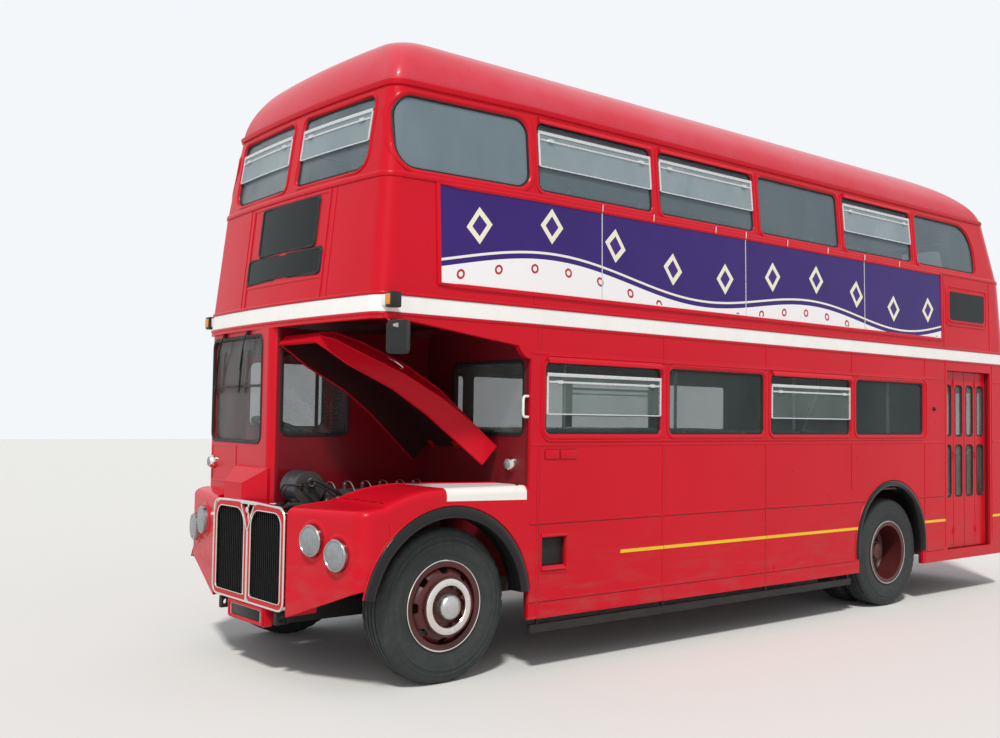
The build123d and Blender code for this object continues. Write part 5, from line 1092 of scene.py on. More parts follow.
head_places = [(wing_face(s * x, z), (s * FACE_OUT.x, FACE_OUT.y, 0))
    for s in (1, -1) for x, z in ((0.784, 0.930), (1.012, 0.860))]
side_places = [((1.030, st(0.603), 1.390), (0, -1, 0)), ((-1.050, st(-0.6056), 1.340), CAB_SLOPE)]
rear_places = [((s * 0.820, REAR_FACE, z), (0, 1, 0)) for s in (1, -1) for z in (0.980, 1.120)]
for lamp, places in ((HEADLAMP, head_places), (SIDE_LAMP, side_places), (REAR_LAMP, rear_places)):
    for name, (finish, profile, segments) in lamp.items():
        fit(name, [turned(profile, at, axis, segments) for at, axis in places], finish)

# Radiator grille: bright outer bead, red shoulders, bright edge round each mesh panel, V and plain disc
GRILLE_Y = -4.190


def on_grille(u, v, h):
    return Vector((u, GRILLE_Y - h, v))


def grille_line(inset):
    points = rounded(-0.520, 0.520, 0.445, 1.110, 0.075, inset, 6)
    return [(u, v + (0.013 * (1 - (u / 0.52) ** 2) if v > 0.9 else 0)) for u, v in points]


top = [(0.445 - 0.890 * k / 10, 1.110 - 0.007 + 0.013 * (1 - (0.445 - 0.089 * k) ** 2 / 0.27))
    for k in range(1, 10)]
line = grille_line(0.007)
line = line[:21] + top + line[21:]
fit("grille_bead", pipe([on_grille(u, v, 0.001) for u, v in line], 0.0085, 8, loop=True), "chrome")
PANELS = ((0.012, 0.504, 0.458, 1.104), (-0.504, -0.012, 0.458, 1.104))
PANEL_R = ((0.050, 0.065, 0.120, 0.150), (0.065, 0.050, 0.150, 0.120))
fit("grille_shoulders", rims(PANELS, PANEL_R, mm(-6, -14, -4, 2.5, 30, 2.5, 33, -14), on_grille), "red")
parts = rims(PANELS, PANEL_R, mm(29, 0, 31, 6, 37, 7, 40, 1, 38, -12), on_grille)
for s in (1, -1):
    vee = [(s * 0.004, 0.925), (s * 0.050, 1.020), (s * 0.092, 1.092)]
    parts.append(bar(vee, mm(-8, 0, -7, 7, 0, 10, 7, 7, 8, 0), on_grille))
parts.append(bar([(0, 0.460), (0, 0.930)], mm(-11, 0, -9, 6, 0, 9, 9, 6, 11, 0), on_grille))
parts.append(turned(mm(0, 0, 0, 21, 8, 21, 12, 15, 13, 0), (0, GRILLE_Y, 1.062), (0, -1, 0), 20))
fit("grille_bright_edges", parts, "chrome")

# Expanded mesh behind the slats: fine crossed wires
HALF_WIRE = 0.0016
parts = [block((x - HALF_WIRE, -4.163, 0.470), (x + HALF_WIRE, -4.159, 1.085))
         for x in [s * (0.020 + k * 0.0107) for s in (1, -1) for k in range(44)]]
parts += [block((-0.490, -4.166, z - HALF_WIRE), (0.490, -4.162, z + HALF_WIRE))
          for z in [0.475 + k * 0.0108 for k in range(56)]]
fit("grille_mesh", parts, "mesh", smooth=False)

# Number plate, left blank, in its red box
fit("number_plate", block((-0.222, -4.192, 0.336), (0.222, -4.185, 0.428), 0.004), "plate")
fit("number_plate_border", rim((-0.216, 0.216, 0.342, 0.422), 0.012, mm(0, 2, 0, 3.5, 3.5, 3.5, 3.5, 2),
    on_grille), "white")
fit("number_plate_lip", rim((-0.252, 0.252, 0.326, 0.440), 0.014, mm(0, -4, 0, 8, 8, 10, 18, 8, 22, -4),
    on_grille), "red")

# Glossy arch mouldings with rounded edges, and their red piping
def arch(centre, height, inner, start, end, section):
    """A moulding on the side round a wheel; section pairs are (beyond the inner radius, stood out)."""
    steps = 56

    def lay(i, j):
        r, h = section[i % len(section)]
        a = math.radians(start + (end - start) * j / steps)
        return Vector((BODY_SIDE + h, st(centre) + (inner + r) * math.cos(a),
            height + (inner + r) * math.sin(a)))

    return web(len(section), steps, lay)


mouldings, piping = [], []
for where, width in (((-0.040, 0.485, 0.585, 169, 6.5), 0.075), ((5.090, 0.570, 0.550, 188.5, -8.5), 0.055)):
    section = mm(-4, -130, -4, 2, 2, 10, 13, 15.5)
    section += [(f * width, h) for f, h in ((0.4, 0.016), (0.62, 0.0145), (0.82, 0.010), (0.95, 0.003),
        (1, -0.002))]
    mouldings.append(arch(*where, section + mm(4, -2, 4, -130)))
    bead = [(width + 0.006 + 0.006 * math.cos(a), 0.002 + 0.005 * math.sin(a))
        for a in (0, 1.05, 2.09, 3.14, 4.19, 5.24)]
    piping.append(arch(*where, bead))
fit("arch_mouldings", both(mouldings), "gloss", BODY, ("arch_flares",))
fit("arch_piping", both(piping), "red")


def touch(node, origin, direction):
    """Where a line first meets one of the solids, and the surface's direction there."""
    hit, place, normal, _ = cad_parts[node].ray_cast(Vector(origin), Vector(direction).normalized())
    return (place, normal) if hit else None


def ribbon(path, side, half, thick):
    """A flat strap on a surface: path holds (place, normal) pairs."""
    side = Vector(side)
    corners = ((-1, -0.001), (1, -0.001), (1, thick), (-1, thick))

    def lay(i, j):
        (place, normal), (s, h) = path[j], corners[i % 4]
        return place + side * s * half + normal * h

    return web(4, len(path) - 1, lay)


def studs(places, radius=0.007, height=0.004):
    """Round heads at (place, outward direction) pairs."""
    profile = [(-0.001, radius), (height * 0.5, radius * 0.85), (height, radius * 0.35), (height, 0.0)]
    return [turned(profile, place, normal, 8) for place, normal in places]


def wing_line(station, out=-0.008):
    """x of the line between bonnet and wing, stood out by a little."""
    return 0.528 + (station + 0.832) / 1.435 * 0.377 + out


# Wings: cross strap with its studs, edge piping, knob at the rear end of the crown
path = [touch("wing_nearside", (0.60 + 0.05 * k, st(-0.50), 2.0), (0, 0, -1)) for k in range(12)]
path += [touch("wing_nearside", (2.0, st(-0.50), z), (-1, 0, 0)) for z in (1.04, 1.00, 0.96, 0.92)]
path = [p for p in path if p]
fit("wing_strap", ribbon(path, (0, 1, 0), 0.012, 0.003), "red")
fit("wing_studs", studs([(p + Vector((0, s, 0)), n) for p, n in path[1::2] for s in (-0.024, 0.024)], 0.006),
    "red")
DOWN = (0, 0, -1)
for side, hand in HANDS:
    stations = [-0.80 + 1.36 * k / 24 for k in range(25)]
    hits = [touch("wing_" + hand, (side * wing_line(s, 0.012), st(s), 2.0), DOWN) for s in stations]
    fit("wing_edge_" + hand, pipe([hit[0] + Vector((0, 0, 0.002)) for hit in hits if hit], 0.006, 8), "red")
place, normal = touch("wing_nearside", (1.17, st(0.53), 2.0), DOWN)
fit("wing_knob", turned(mm(0, 12, 4, 12, 7, 7, 8, 0), place, normal, 12), "rubber")


# Bonnet: a dark sheet of painted shade inside it, bead along the creases, handle
HINGE_Y, HINGE_Z = -2.765, 1.488


def opened(x, station, z):
    """A point of the shut bonnet, turned with it to 45 degrees open."""
    dy, dz = st(station) - HINGE_Y, z - HINGE_Z
    c = math.sqrt(0.5)
    return Vector((x, HINGE_Y + c * (dy + dz), HINGE_Z + c * (dz - dy)))


# Each row: station, heights of the hem, of the side's crease and of the top, width of the facet between
# the crease and the top
BONNET = [
    (-0.790, 1.100, 1.150, 1.186, 0.036), (-0.705, 1.118, 1.208, 1.278, 0.080),
    (-0.530, 1.150, 1.270, 1.378, 0.110), (-0.210, 1.252, 1.389, 1.495, 0.120),
    (0.070, 1.295, 1.458, 1.545, 0.110), (0.335, 1.310, 1.490, 1.536, 0.090),
    (0.571, 1.322, 1.494, 1.502, 0.060),
]


# The dark sheet just inside the bonnet's skin is painted shade.
def painted_shade(i, j):
    along, low, crease, top, facet = BONNET[j]
    along = max(along, -0.762)
    low += 0.006
    loop = []
    for d, turn in ((0.0223, 1), (0.0236, -1)):
        outer = wing_line(along) - d
        row = [(0.032 + d, low), (0.032 + d, top - d), (outer - facet, top - d), (outer, crease - 0.7 * d),
            (outer, low)]
        loop += row[::turn]
    x, z = loop[i % 10]
    return opened(x, along, z)


fit("bonnet_painted_shade", web(10, 6, painted_shade), "painted_shade", "bonnet")
lines = [[opened(wing_line(a) - f + 0.001, a, t + 0.001) for a, l, c, t, f in BONNET],
         [opened(wing_line(a) + 0.001, a, c + 0.001) for a, l, c, t, f in BONNET],
         [opened(wing_line(a) - 0.003, a, l + 0.003) for a, l, c, t, f in BONNET]]
fit("bonnet_beads", [pipe(line, 0.0045, 6) for line in lines], "red", "bonnet")
GRIP = ((-0.36, -0.042, 1.385), (-0.355, -0.018, 1.400), (-0.26, -0.016, 1.420), (-0.255, -0.040, 1.412))
fit("bonnet_handle", pipe([opened(wing_line(a) + h, a, z) for a, h, z in GRIP], 0.006, 8, 4), "chrome",
    "bonnet")
catch = opened(wing_line(-0.66) - 0.030, -0.66, 1.150)
fit("bonnet_catch", turned(mm(0, 16, 10, 16, 14, 10, 14, 0), catch, (1, 0, 0), 16), "chrome", "bonnet")

# Engine: blue-grey filter drum, hoses, pipes and wiring
DRUM = mm(-8, 0, -8, 60, 2, 85, 4, 108, 8, 113.1, 24, 113.1, 28, 112.3, 86, 112.3, 90, 113.1, 98, 112.3, 160,
    112.3, 166, 113.1, 180, 113.1, 184, 108, 186, 85, 198, 60, 200, 24, 214, 22, 216, 0)
fit("filter_drum", turned(DRUM, (0.095, st(-0.545), 1.215), (1, 0, 0), 40), "drum")
hoses = [
    run(0.02, -0.70, 1.03, 0.06, -0.66, 1.075, 0.05, -0.60, 1.080, 0.10, -0.50, 1.06),
    run(0.20, -0.70, 1.04, 0.24, -0.66, 1.10, 0.34, -0.55, 1.10, 0.36, -0.46, 1.07),
    run(0.30, -0.545, 1.25, 0.37, -0.54, 1.27, 0.42, -0.42, 1.20, 0.40, -0.30, 1.12, 0.36, -0.22, 1.10),
]
fit("engine_hoses", [pipe(line, 0.026 - 0.006 * k, 12, 6) for k, line in enumerate(hoses)], "hose")
CLIP = mm(10, 20, 10, 29, 20, 29, 20, 20, 10, 20)
parts = [turned(CLIP, p, q - p, 16) for line in hoses for p, q in ((line[0], line[1]), (line[-1], line[-2]))]
for k in range(6):
    a = -0.350 + 0.145 * k
    feed = run(0.185, a, 1.222, 0.200, a, 1.245, 0.250, a + 0.01, 1.240, 0.300, a + 0.015, 1.180, 0.320,
        a + 0.02, 1.148)
    parts.append(pipe(feed, 0.0045, 6, 4))
    parts.append(turned(mm(0, 13, 14, 13, 16, 8, 16, 0), (0.185, st(a), 1.224), (0, 0, 1), 6))
rail = run(0.355, -0.46, 1.120, 0.360, -0.40, 1.150, 0.350, 0.0, 1.152, 0.355, 0.43, 1.150)
dipstick = run(0.400, -0.10, 0.90, 0.420, -0.12, 1.10, 0.430, -0.13, 1.18, 0.430, -0.115, 1.205, 0.430, -0.145,
    1.205, 0.430, -0.13, 1.18)
fit("engine_pipes", parts + [pipe(rail, 0.008, 8, 6), pipe(dipstick, 0.004, 6, 5)], "pipework")
wires = [
    run(0.30, -0.60, 1.20, 0.36, -0.62, 1.26, 0.40, -0.50, 1.22, 0.42, -0.40, 1.14),
    run(0.12, -0.67, 1.18, 0.18, -0.675, 1.230, 0.28, -0.670, 1.240, 0.34, -0.58, 1.22, 0.36, -0.50, 1.12),
    run(0.02, -0.30, 1.14, 0.04, -0.05, 1.16, 0.02, 0.20, 1.17, 0.02, 0.50, 1.24, 0.02, 0.59, 1.30),
]
fit("engine_wiring", [pipe(line, 0.006, 6, 6) for line in wires], "rubber")
parts = [block((0.112, st(-0.40 + 0.10 * k), 1.188), (0.258, st(-0.392 + 0.10 * k), 1.196), 0.002)
    for k in range(9)]
parts.append(turned(mm(0, 30, 16, 30, 22, 24, 22, 0), (0.230, st(0.33), 1.188), (0, 0, 1), 20))
places = [(x, st(-0.41 + 0.091 * k), 1.1105) for k in range(10) for x in (0.082, 0.288)]
parts += studs([(Vector(place), Vector((0, 0, 1))) for place in places], 0.010, 0.010)
fit("rocker_cover_trim", parts, "drum")

# Cab: rubber round the glass, wipers, cowl lines, door glass
def on_cab(u, v, h):
    y = st(-0.590 - (u + BODY_SIDE) / 1.244 * 0.115)
    return Vector((u, y, v)) + CAB_SLOPE * h


def on_cab_side(u, v, h):
    return Vector((0.025 + h, st(u), v))


def on_cab_door(u, v, h):
    return Vector((CAB_DOOR_FACE - h, st(u), v))


def on_back(u, v, h):
    return Vector((u, REAR_FACE + h, v))


SCREEN, SIDE_PANE = (-1.110, -0.150, 1.510, 2.255), (-0.620, -0.100, 1.570, 2.200)
CAB_SEAL = mm(-16, 0, -14, 5, -6, 7, 4, 5, 10, 0, 10, -10, -4, -12)
fit("cab_seals", [rim(SCREEN, 0.06, CAB_SEAL, on_cab), rim(SIDE_PANE, 0.05, CAB_SEAL, on_cab_side)], "rubber")
parts = [bar([(SCREEN[0] + 0.01, 1.905), (SCREEN[1] - 0.01, 1.905)], mm(-9, -14, -9, 1, 9, 1, 9, -14), on_cab),
         bar([(-0.345, 1.575), (-0.345, 2.195)], mm(-10, -14, -10, 1, 10, 1, 10, -14), on_cab_side)]
fit("cab_window_bars", parts, "dark")
parts = []
for u, lean in ((-0.86, 0.16), (-0.40, 0.13)):
    arm = [on_cab(u, 2.285, 0.022), on_cab(u - lean * 0.4, 2.18, 0.026), on_cab(u - lean, 2.02, 0.016)]
    blade = [(u - lean + 0.03, 2.17), (u - lean - 0.03, 1.86)]
    parts.append(turned(mm(0, 16, 22, 14, 26, 0), on_cab(u, 2.285, 0.0), CAB_SLOPE, 14))
    parts.append(pipe(arm, 0.0045, 6, 4))
    parts.append(bar(blade, mm(-4, 1, -3, 14, 3, 14, 4, 1), on_cab))
fit("wipers", parts, "rubber")
parts = [bar([(-1.10, v), (-0.60, v)], STRIP, on_cab) for v in (1.470, 1.205)]
parts += [bar([(u, 1.205), (u, 1.470)], STRIP, on_cab) for u in (-1.10, -0.60)]
fit("cab_panel_lines", parts, "red")
DOOR_PANE = (-0.245, 0.435, 1.600, 2.130)
fit("door_pan", rim(DOOR_PANE, 0.06, mm(-20, -2, -16, 6, -6, 6, 4, -4, -4, -10), on_cab_door), "red",
    "cab_door")
door_glass = rounded(-0.242, 0.432, 1.603, 2.127, 0.058)
fit("cab_door_glass", slab_on(door_glass, -0.018, 0.005, on_cab_door), "glass", "cab_door")
fit("cab_door_seal", rim(DOOR_PANE, 0.06, mm(0, -10, 0, -26, 12, -26, 12, -10), on_cab_door), "rubber",
    "cab_door")
grip = [on_cab_door(u, 1.42, h) for u, h in ((0.02, 0.0), (0.03, 0.022), (0.15, 0.022), (0.16, 0.0))]
fit("cab_door_grip", pipe(grip, 0.007, 8, 4), "chrome", "cab_door")
WHEEL_MIDDLE, WHEEL_TILT, WHEEL_R = Vector((-0.600, -3.594, 1.566)), 0.384, 0.265
slant = Vector((0, math.cos(WHEEL_TILT), -math.sin(WHEEL_TILT)))
turns = [math.pi / 24 * k for k in range(48)]
grip = [WHEEL_MIDDLE + (Vector((math.cos(a), 0, 0)) + slant * math.sin(a)) * WHEEL_R for a in turns]
fit("wheel_rim_grip", pipe(grip, 0.0135, 8, loop=True), "plastic", "steering_wheel")

# Mirrors on their arms, turn lamps above them
HEAD, HEAD_R = (-0.078, 0.078, -0.104, 0.104), 0.030
# The head from its middle behind over the edge to its face: (taken in, stood out)
HEAD_RINGS = mm(30, -10.5, 12, -9.5, 3, -6, 0, 0, 2, 7, 6, 9.5, 10, 9.5, 12, 7, 70, 7)
UP = (0, 0, 1)
heads, glasses, arms, clamps = [], [], [], []
for side, station, z, foot in ((1, -0.550, 2.180, (1.160, -0.560, 2.330)),
        (-1, -0.450, 2.000, (1.205, -0.430, 2.070))):
    turn = Matrix.Translation((side * 1.323, st(station), z)) @ Matrix.Rotation(side * math.radians(33), 4, "Z")

    def on_head(u, v, h, turn=turn):
        return turn @ Vector((u, h, v))

    def lay(i, j, on_head=on_head):
        inset, h = HEAD_RINGS[j]
        outline = rounded(*HEAD, HEAD_R, min(inset, 0.029))
        u, v = outline[i % len(outline)]
        shrink = 0.6 if inset > 0.029 else 1.0
        return on_head(u * shrink, v * shrink, h)

    heads.append(web(len(rounded(*HEAD, HEAD_R)), len(HEAD_RINGS) - 1, lay))
    glasses.append(slab_on(rounded(-0.065, 0.065, -0.091, 0.091, 0.022), 0.0072, 0.0012, on_head))
    heads.append(rim(HEAD, HEAD_R, mm(1, 8, 3, 10.5, 8, 10.5, 10, 8), on_head))
    hold = on_head(-0.010 * side, 0.070, -0.010)
    x, s, low = foot
    arm = run(side * 1.290, station - 0.010, z + 0.070, side * 1.271, station - 0.010, z + 0.082,
        side * (x + 0.02), s, low, side * x, s, low)
    arms.append(pipe([hold] + arm, 0.0085, 10, 4))
    clamps.append(turned(mm(-13, 0, -13, 14, 13, 14, 13, 0), hold, (1, 0, 0), 12))
fit("mirror_heads", heads, "plastic", BODY, ("mirrors",))
fit("mirror_glasses", glasses, "chrome")
fit("mirror_arms", arms, "red")
fit("mirror_clamps", clamps, "steel_bright")
boxes, lamps, feet = [], [], []
for side in (1, -1):
    x, y = side * 1.236, st(-0.557)
    a, b = sorted((x, x + side * 0.074))
    boxes.append(block((a, y - 0.036, 2.360), (b, y + 0.040, 2.458), 0.009))
    for front, back in ((-0.045, -0.033), (0.037, 0.046)):
        lamps.append(block((a + 0.012, y + front, 2.376), (b - 0.012, y + back, 2.442), 0.006))
    a, b = sorted((side * 1.150, x))
    feet.append(block((a, y - 0.020, 2.376), (b, y + 0.022, 2.446), 0.006))
    feet.append(block((a, y - 0.014, 2.300), (b, y + 0.014, 2.330), 0.005))
    feet.append(turned(mm(-12, 0, -12, 16, 10, 14, 14, 0), (side * 1.215, y, 2.466), UP, 12))
fit("turn_lamp_feet", feet, "red")
fit("turn_lamp_boxes", boxes, "plastic")
fit("turn_lamp_lenses", lamps, "amber")
handle = run(1.196, 0.600, 1.712, 1.196, 0.560, 1.720, 1.196, 0.556, 1.782, 1.196, 0.560, 1.845, 1.196, 0.600,
    1.853)
fit("bulkhead_handle", pipe(handle, 0.009, 10, 5), "white")

# Entrance: glass, rubber and push bars on each folding leaf
# Each leaf: start and end in y, and where its edge rubber lies
LEAVES = ((2.756, 2.967, 2.964, 2.968), (2.975, 3.186, 3.183, 3.187), (3.194, 3.405, 3.193, 3.197),
          (3.413, 3.624, 3.621, 3.625))


def on_leaf(u, v, h):
    return Vector((LEAF_FACE + h, u, v))


for k, (start, end, near_edge, far_edge) in enumerate(LEAVES, 1):
    body = "door_leaf_%d" % k
    rects = [(start + 0.038, end - 0.038, low, high) for low, high in ((0.978, 1.493), (1.586, 2.097))]
    panes = [slab_on(rounded(*rect, 0.036, 0.002), -0.017, 0.005, on_leaf) for rect in rects]
    fit("leaf_glass_%d" % k, panes, "glass", body)
    rubber = [rim(rect, 0.036, mm(-8, 0, -6, 3, 2, 3, 8, -10, 0, -12), on_leaf) for rect in rects]
    rubber.append(block((1.138, near_edge, 0.475), (1.162, far_edge, 2.225)))
    fit("leaf_rubber_%d" % k, rubber, "rubber", body)
    if k in (2, 3):
        push = [(1.136, start + 0.02, 1.30), (1.112, start + 0.03, 1.31), (1.112, end - 0.03, 1.43),
            (1.136, end - 0.02, 1.44)]
        fit("leaf_bar_%d" % k, pipe(push, 0.009, 8, 4), "steel_bright", body)

# Rear: emergency door glass and rim, lower window, panel lines
EXIT_AT = Vector((0, 4.046, 3.190))
EXIT_UP, EXIT_OUT = Vector((0, -0.3387, 0.9409)), Vector((0, 0.9409, 0.3387))


def on_exit(u, v, h):
    return EXIT_AT + EXIT_UP * v + EXIT_OUT * h + Vector((u, 0, 0))


EXIT_PANE = (-0.550, 0.550, 0.110, 0.490)
fit("exit_glass", slab_on(rounded(*EXIT_PANE, 0.07, -0.004), -0.022, 0.006, on_exit), "glass_up",
    "emergency_door")
fit("exit_seal", rim(EXIT_PANE, 0.07, CAB_SEAL + [(-0.010, -0.004)], on_exit), "rubber", "emergency_door")
fit("exit_edge", rim((-0.614, 0.614, 0.046, 0.554), 0.06, mm(2, 0, 4, 4, 16, 4, 18, 0), on_exit), "red",
    "emergency_door")
fit("exit_handle", pipe([on_exit(0.06, 0.075, 0.002), on_exit(0.06, 0.077, 0.024),
    on_exit(-0.08, 0.077, 0.026)], 0.008, 8, 4), "chrome", "emergency_door")
BACK_PANE = (0.150, 0.960, 1.480, 2.060)
fit("rear_window_seal", rim(BACK_PANE, 0.06, CAB_SEAL, on_back), "rubber")
parts = [rim(BACK_PANE, 0.06, mm(-45, -2, -40, 6, -28, 8, -18, 2), on_back)]
for a, b, c, d in ((-0.90, 1.35, 0.90, 1.35), (-0.90, 0.72, 0.90, 0.72), (-0.40, 0.42, -0.40, 1.35),
                   (0.05, 0.42, 0.05, 2.15), (0.50, 0.42, 0.50, 1.35), (-0.90, 2.15, 0.90, 2.15)):
    parts.append(bar([(a, b), (c, d)], STRIP, on_back))
fit("rear_panel_strips", parts, "red")

# Rubber round the two bulkhead panes, blank boxes and small fittings of the nearside
def on_bulkhead(u, v, h):
    return Vector((u, BULKHEAD_FACE - h, v))


BULKHEAD_PANES = ((0.360, 1.140, 1.594, 2.090), (-1.090, -0.130, 1.594, 2.090))
fit("bulkhead_seals", rims(BULKHEAD_PANES, (0.05, 0.05), CAB_SEAL, on_bulkhead), "rubber")
PLATES = ((0.738, 0.862, 1.428, 1.492), (0.876, 1.026, 1.428, 1.492))
plates = [block((BODY_SIDE, st(a), low), (BODY_SIDE + 0.0075, st(b), high), 0.003)
    for a, b, low, high in PLATES]
fit("small_plates", plates, "red")
fit("small_plate_edges", rims(PLATES, (0.004, 0.004), mm(-4, -1, -4, 2, 2, 2, 2, -1), on_lower), "dark_line")
INLET = (0.715, 0.940, 0.670, 0.908)
fit("inlet_edge", rim(INLET, 0.012, mm(-12, -1, -9, 6, -2, 6, 2, -6), on_lower), "red")
# A black slab set inside the inlet: painted shade for its dark opening.
fit("inlet_painted_shade", block((1.1795, st(0.718), 0.674), (1.186, st(0.937), 0.904), 0.002), "rubber")
FLAP, HOOD = mm(-22, -30, -26, 8, -18, 12, 6, -12, 2, -34), mm(-12, -2, -14, 10, -6, 15, 8, 7, 12, -2)
fit("inlet_flap", bar([(0.722, 0.700), (0.933, 0.700)], FLAP, on_lower), "red")
fit("inlet_hood", bar([(0.712, 0.915), (0.943, 0.915)], HOOD, on_lower), "red")
BELL = mm(0, 22, 6, 22, 10, 17, 12, 8, 20, 8, 21, 0)
fit("bell", turned(BELL, (BODY_SIDE, st(5.847), 1.850), (1, 0, 0), 16), "rubber")
places = []
for k in range(24):
    places.append(on_upper(-0.28 + 0.26 * k, 3.205, 0.004))
    places += [Vector((BODY_SIDE + 0.0015, st(0.72 + 0.21 * k), z)) for z in (0.500, 1.512)]
places = [(p, Vector((1, 0, 0))) for p in places if not (p.z < 1 and 1.10 < p.y < 2.40)]
fit("side_studs", both(studs(places, 0.005, 0.003)), "red")

# Saloons: ceiling, lamps, poles
# Each row: height, taken in from the roof's outline, let down
LINING = ((3.830, 0.048, 0.0), (3.880, 0.052, 0.004), (3.950, 0.055, 0.012), (4.020, 0.055, 0.025),
          (4.090, 0.055, 0.038), (4.155, 0.055, 0.047), (4.215, 0.052, 0.052), (4.270, 0.050, 0.055),
          (4.318, 0.050, 0.058))
loops = [[Vector((p.x, p.y, p.z - drop)) for p in plan_line(z, -inset)] for z, inset, drop in LINING]
loops.append([Vector((0, st(2.8), 4.282))] * len(loops[0]))
ceiling = web(len(loops[0]), len(loops) - 1, lambda i, j: loops[j][i % len(loops[0])], WELD)
modify(ceiling, "SOLIDIFY", thickness=0.003, offset=0.0)
fit("upper_ceiling", ceiling, "cream")
BULB, RING = mm(0, 40, 14, 38, 26, 26, 32, 10, 33, 0), mm(-4, 38, 6, 52, 10, 50, 10, 40, -4, 38)
places = []
for k in range(5):
    for s in (1, -1):
        if s > 0 or k < 4:
            places.append((s * 0.72, st(1.4 + 1.15 * k), 2.360))
        places.append((s * 0.62, st(0.6 + 1.25 * k), 4.196 - 0.012 * k))
fit("ceiling_bulbs", [turned(BULB, place, DOWN, 16) for place in places], "white")
fit("ceiling_lamp_rings", [turned(RING, place, DOWN, 20) for place in places], "chrome")
poles = [(0.262, 1.55 + 1.46 * k, 0.700, 2.358) for k in range(3)]
poles += [(-0.262, 2.28 + 1.46 * k, 0.700, 2.358) for k in range(2)]
poles += [(x, s, 0.455, 2.358) for x, s in ((0.62, 6.02), (0.62, 7.06), (-0.50, 5.98))]
poles += [(-0.50, s, 2.432, 3.36) for s in (5.30, 6.70)]
poles += [((-1) ** k * 0.262, 0.34 + 1.48 * k, 2.432, 4.20) for k in range(4)]
FLANGE = mm(0, 16, 0, 34, 7, 32, 12, 22, 12, 16, 0, 16)
parts = []
for x, s, low, high in poles:
    parts.append(pipe(run(x, s, low, x, s, high), 0.0155, 12))
    parts += [turned(FLANGE, (x, st(s), z), UP, 16) for z in (low, high - 0.012)]
for x in (0.262, -0.262):
    rail = run(x, 0.9, 2.352, x, 0.94, 2.280, x, 3.0, 2.260, x, 5.2, 2.280, x, 5.24, 2.352)
    parts.append(pipe(rail, 0.0145, 10, 5))
for rail in (run(-0.505, 5.30, 3.34, -0.505, 6.70, 3.34, -0.70, 6.82, 3.34, -1.08, 6.84, 3.34),
             run(-0.55, 5.90, 1.20, -0.55, 6.30, 1.75, -0.55, 6.75, 2.55, -0.55, 6.78, 3.30)):
    parts.append(pipe(rail, 0.016, 10, 6))
fit("hand_poles", parts, "steel_bright")


# Seats: cushions in patterned cloth with hide at the edges, on tube frames
def seat_cloth():
    """Woven moquette: small two-tone checks crossed by darker and lighter yarns."""
    p = Paint("seat_moquette")
    a = abs((p.x * 18.0).apply("FRACT") - 0.5)
    b = abs(((p.y + p.z) * 18.0).apply("FRACT") - 0.5)
    check = (a + b) > 0.5
    line = p.any(a < 0.045, b < 0.045)
    red = p.blend(p.noise(60.0, 4), (0.16, 0.012, 0.014), (0.26, 0.026, 0.026))
    colour = p.blend(check, red, (0.085, 0.012, 0.012))
    colour = p.blend(line * 0.8, colour, (0.50, 0.34, 0.11))
    yarn_x, yarn_y, yarn_z = ((axis * 420.0).apply("SINE") for axis in (p.x, p.y, p.z))
    weave = (yarn_x + yarn_y + yarn_z) * 0.25
    return p.set(Base_Color=colour, Roughness=0.86 + 0.08 * p.noise(90.0), Specular_IOR_Level=0.2,
        Normal=p.bump(weave, 0.0012, 0.5))


def seat_leather():
    p = Paint("seat_leather")
    creases = p.noise(130.0, 6, 0.7) + 0.5 * p.noise(22.0, 4)
    return p.set(Base_Color=p.blend(p.noise(14.0, 4), (0.060, 0.008, 0.008), (0.11, 0.016, 0.014)),
        Roughness=0.36 + 0.22 * p.noise(18.0), Normal=p.bump(creases, 0.0020, 0.55))


FINISH["moquette"] = seat_cloth()
FINISH["leather"] = seat_leather()


def pad(low, high, lean=0.0, crown=0.012, cuts=9):
    """A stuffed block, its top crowned and its edges rounded; lean moves its upper edge to the rear."""
    bpy.ops.mesh.primitive_cube_add(size=2)
    obj = bpy.context.object
    edit(obj, (bpy.ops.mesh.subdivide, {"number_cuts": cuts}))
    low, high = Vector(low), Vector(high)
    size = (high - low) / 2
    upright = size.y <= size.z
    squareness = 7.0
    for v in obj.data.vertices:
        a = [abs(c) for c in v.co]
        k = max(a) / (sum(c ** squareness for c in a) ** (1 / squareness))
        c = v.co * k
        swell = crown * (1 - c.x ** 4) * (1 - (c.z if upright else c.y) ** 4)
        p = low + Vector([size[i] * (c[i] + 1) for i in range(3)])
        p[1 if upright else 2] += swell * (c.y if upright else c.z)
        p.y += lean * (p.z - low.z) / (high.z - low.z)
        v.co = p
    return obj


def stuffed(obj, voxel, cap, keep):
    """Blows the pad up a little as cloth; no point moves further than cap."""
    modify(obj, "REMESH", mode="VOXEL", voxel_size=voxel)
    before = [v.co.copy() for v in obj.data.vertices]
    pick(obj)
    modifier = obj.modifiers.new("cloth", "CLOTH")
    modifier.settings.use_pressure = True
    modifier.settings.uniform_pressure_force = 4.0
    modifier.settings.effector_weights.gravity = 0.0
    modifier.settings.tension_stiffness = 15.0
    modifier.point_cache.frame_start = 1
    modifier.point_cache.frame_end = 20
    for k in range(1, 21):
        scene.frame_set(k)
    graph = bpy.context.evaluated_depsgraph_get()
    moved = [v.co.copy() for v in obj.evaluated_get(graph).data.vertices]
    obj.modifiers.remove(modifier)
    scene.frame_set(1)
    if len(moved) == len(before):
        for v, a, b in zip(obj.data.vertices, before, moved):
            step = b - a
            v.co = a + step * min(1.0, cap / max(step.length, 1e-6))
    modify(obj, "DECIMATE", ratio=keep)
    return obj


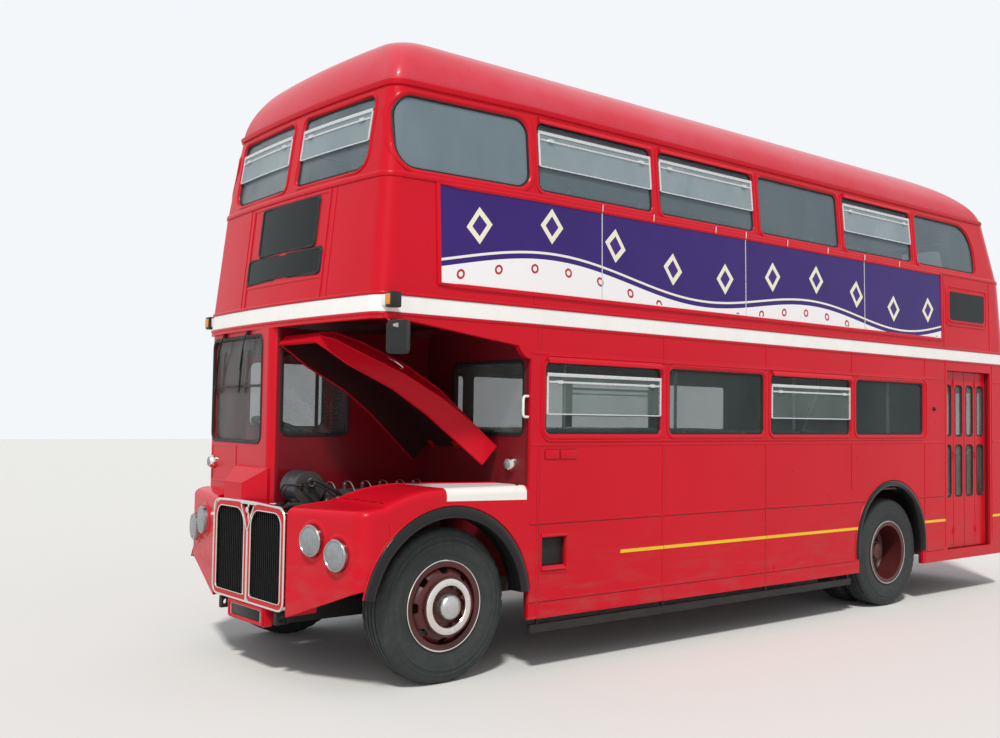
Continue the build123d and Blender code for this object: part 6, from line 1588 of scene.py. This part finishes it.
WIDE = 0.866
seat_parts = {
    "base": stuffed(pad((0.006, 0.004, 0.348), (0.884, 0.386, 0.424)), 0.012, 0.007, 0.16),
    "back": stuffed(pad((0.006, 0.392, 0.436), (0.884, 0.446, 0.892), 0.044), 0.012, 0.006, 0.16),
}
shell = pad((0.010, 0.440, 0.350), (0.880, 0.461, 0.880), 0.045, 0.0, 5)
HOOP = [(0.02, 0.43, 0.36), (0.02, 0.474, 0.86), (0.05, 0.488, 0.905), (0.445, 0.489, 0.912),
        (0.84, 0.488, 0.905), (0.87, 0.474, 0.86), (0.87, 0.43, 0.36)]
tubes = [pipe(HOOP, 0.0125, 10, 5)]
for y in (0.12, 0.36):
    tubes += [pipe([(x, y, 0.345), (x, y - 0.02, 0.03), (x, y - 0.02, 0.004)], 0.013, 8) for x in (0.08, 0.78)]
tubes += [pipe([(x, 0.10, 0.05), (x, 0.34, 0.05)], 0.010, 8) for x in (0.08, 0.78)]
seat_parts["frame"] = join(tubes)
welts = [pipe([(0.012 + WIDE * k / 8, y, z) for k in range(9)], 0.005, 6)
    for y, z in ((0.006, 0.420), (0.436, 0.890))]
seat_parts["welts"] = join(welts + [shell])
lower_rows, upper_rows = [1.050 + 0.730 * k for k in range(5)], [-0.150 + 0.740 * k for k in range(8)]
PITCH = 0.890
for deck, stations, level, width in (("lower", lower_rows, 0.700, 0.890), ("upper", upper_rows, 2.430, 0.830)):
    for side, hand in HANDS:
        node = "seats_%s_%s" % (deck, hand)
        made = {kind: [] for kind in seat_parts}
        for station in stations:
            shift = Matrix.Translation((side * 0.250, st(station), level))
            shift = shift @ Matrix.Diagonal((side * width / PITCH, 1, 1, 1))
            for kind, part in seat_parts.items():
                made[kind].append(copy(part, shift))
        pads = made["base"] + made["back"]
        if deck == "lower":
            lo, hi = sorted((side * 0.664, side * 1.146))
            pads.append(stuffed(pad((lo, 1.246, 1.104), (hi, 2.346, 1.188)), 0.016, 0.007, 0.2))
            lo, hi = sorted((side * 1.084, side * 1.148))
            pads.append(pad((lo, 1.250, 1.192), (hi, 2.342, 1.576), crown=0.0))
        cushions = fit(node.replace("seats", "cushions"), pads, "moquette", BODY, (node,))
        fit(node.replace("seats", "seat_shells"), made["welts"], "leather")
        fit(node.replace("seats", "seat_frames"), made["frame"], "steel_bright")
for part in seat_parts.values():
    bpy.data.objects.remove(part)

driver = [stuffed(pad((-0.824, st(-0.034), 1.296), (-0.386, st(0.376), 1.368), crown=0.010), 0.007, 0.007, 0.3),
          stuffed(pad((-0.824, st(0.384), 1.372), (-0.386, st(0.436), 1.854), 0.048, 0.008), 0.007, 0.007, 0.3)]
cushions = fit("driver_cushions", driver, "leather", BODY, ("driver_seat",))
hoop = run(-0.80, 0.40, 1.30, -0.80, 0.486, 1.82, -0.605, 0.492, 1.852, -0.41, 0.486, 1.82, -0.41, 0.40, 1.30)
pedestal = block((-0.750, st(0.070), 1.132), (-0.460, st(0.340), 1.294), 0.012)
fit("driver_seat_frame", [pedestal, pipe(hoop, 0.012, 8, 6)], "black")
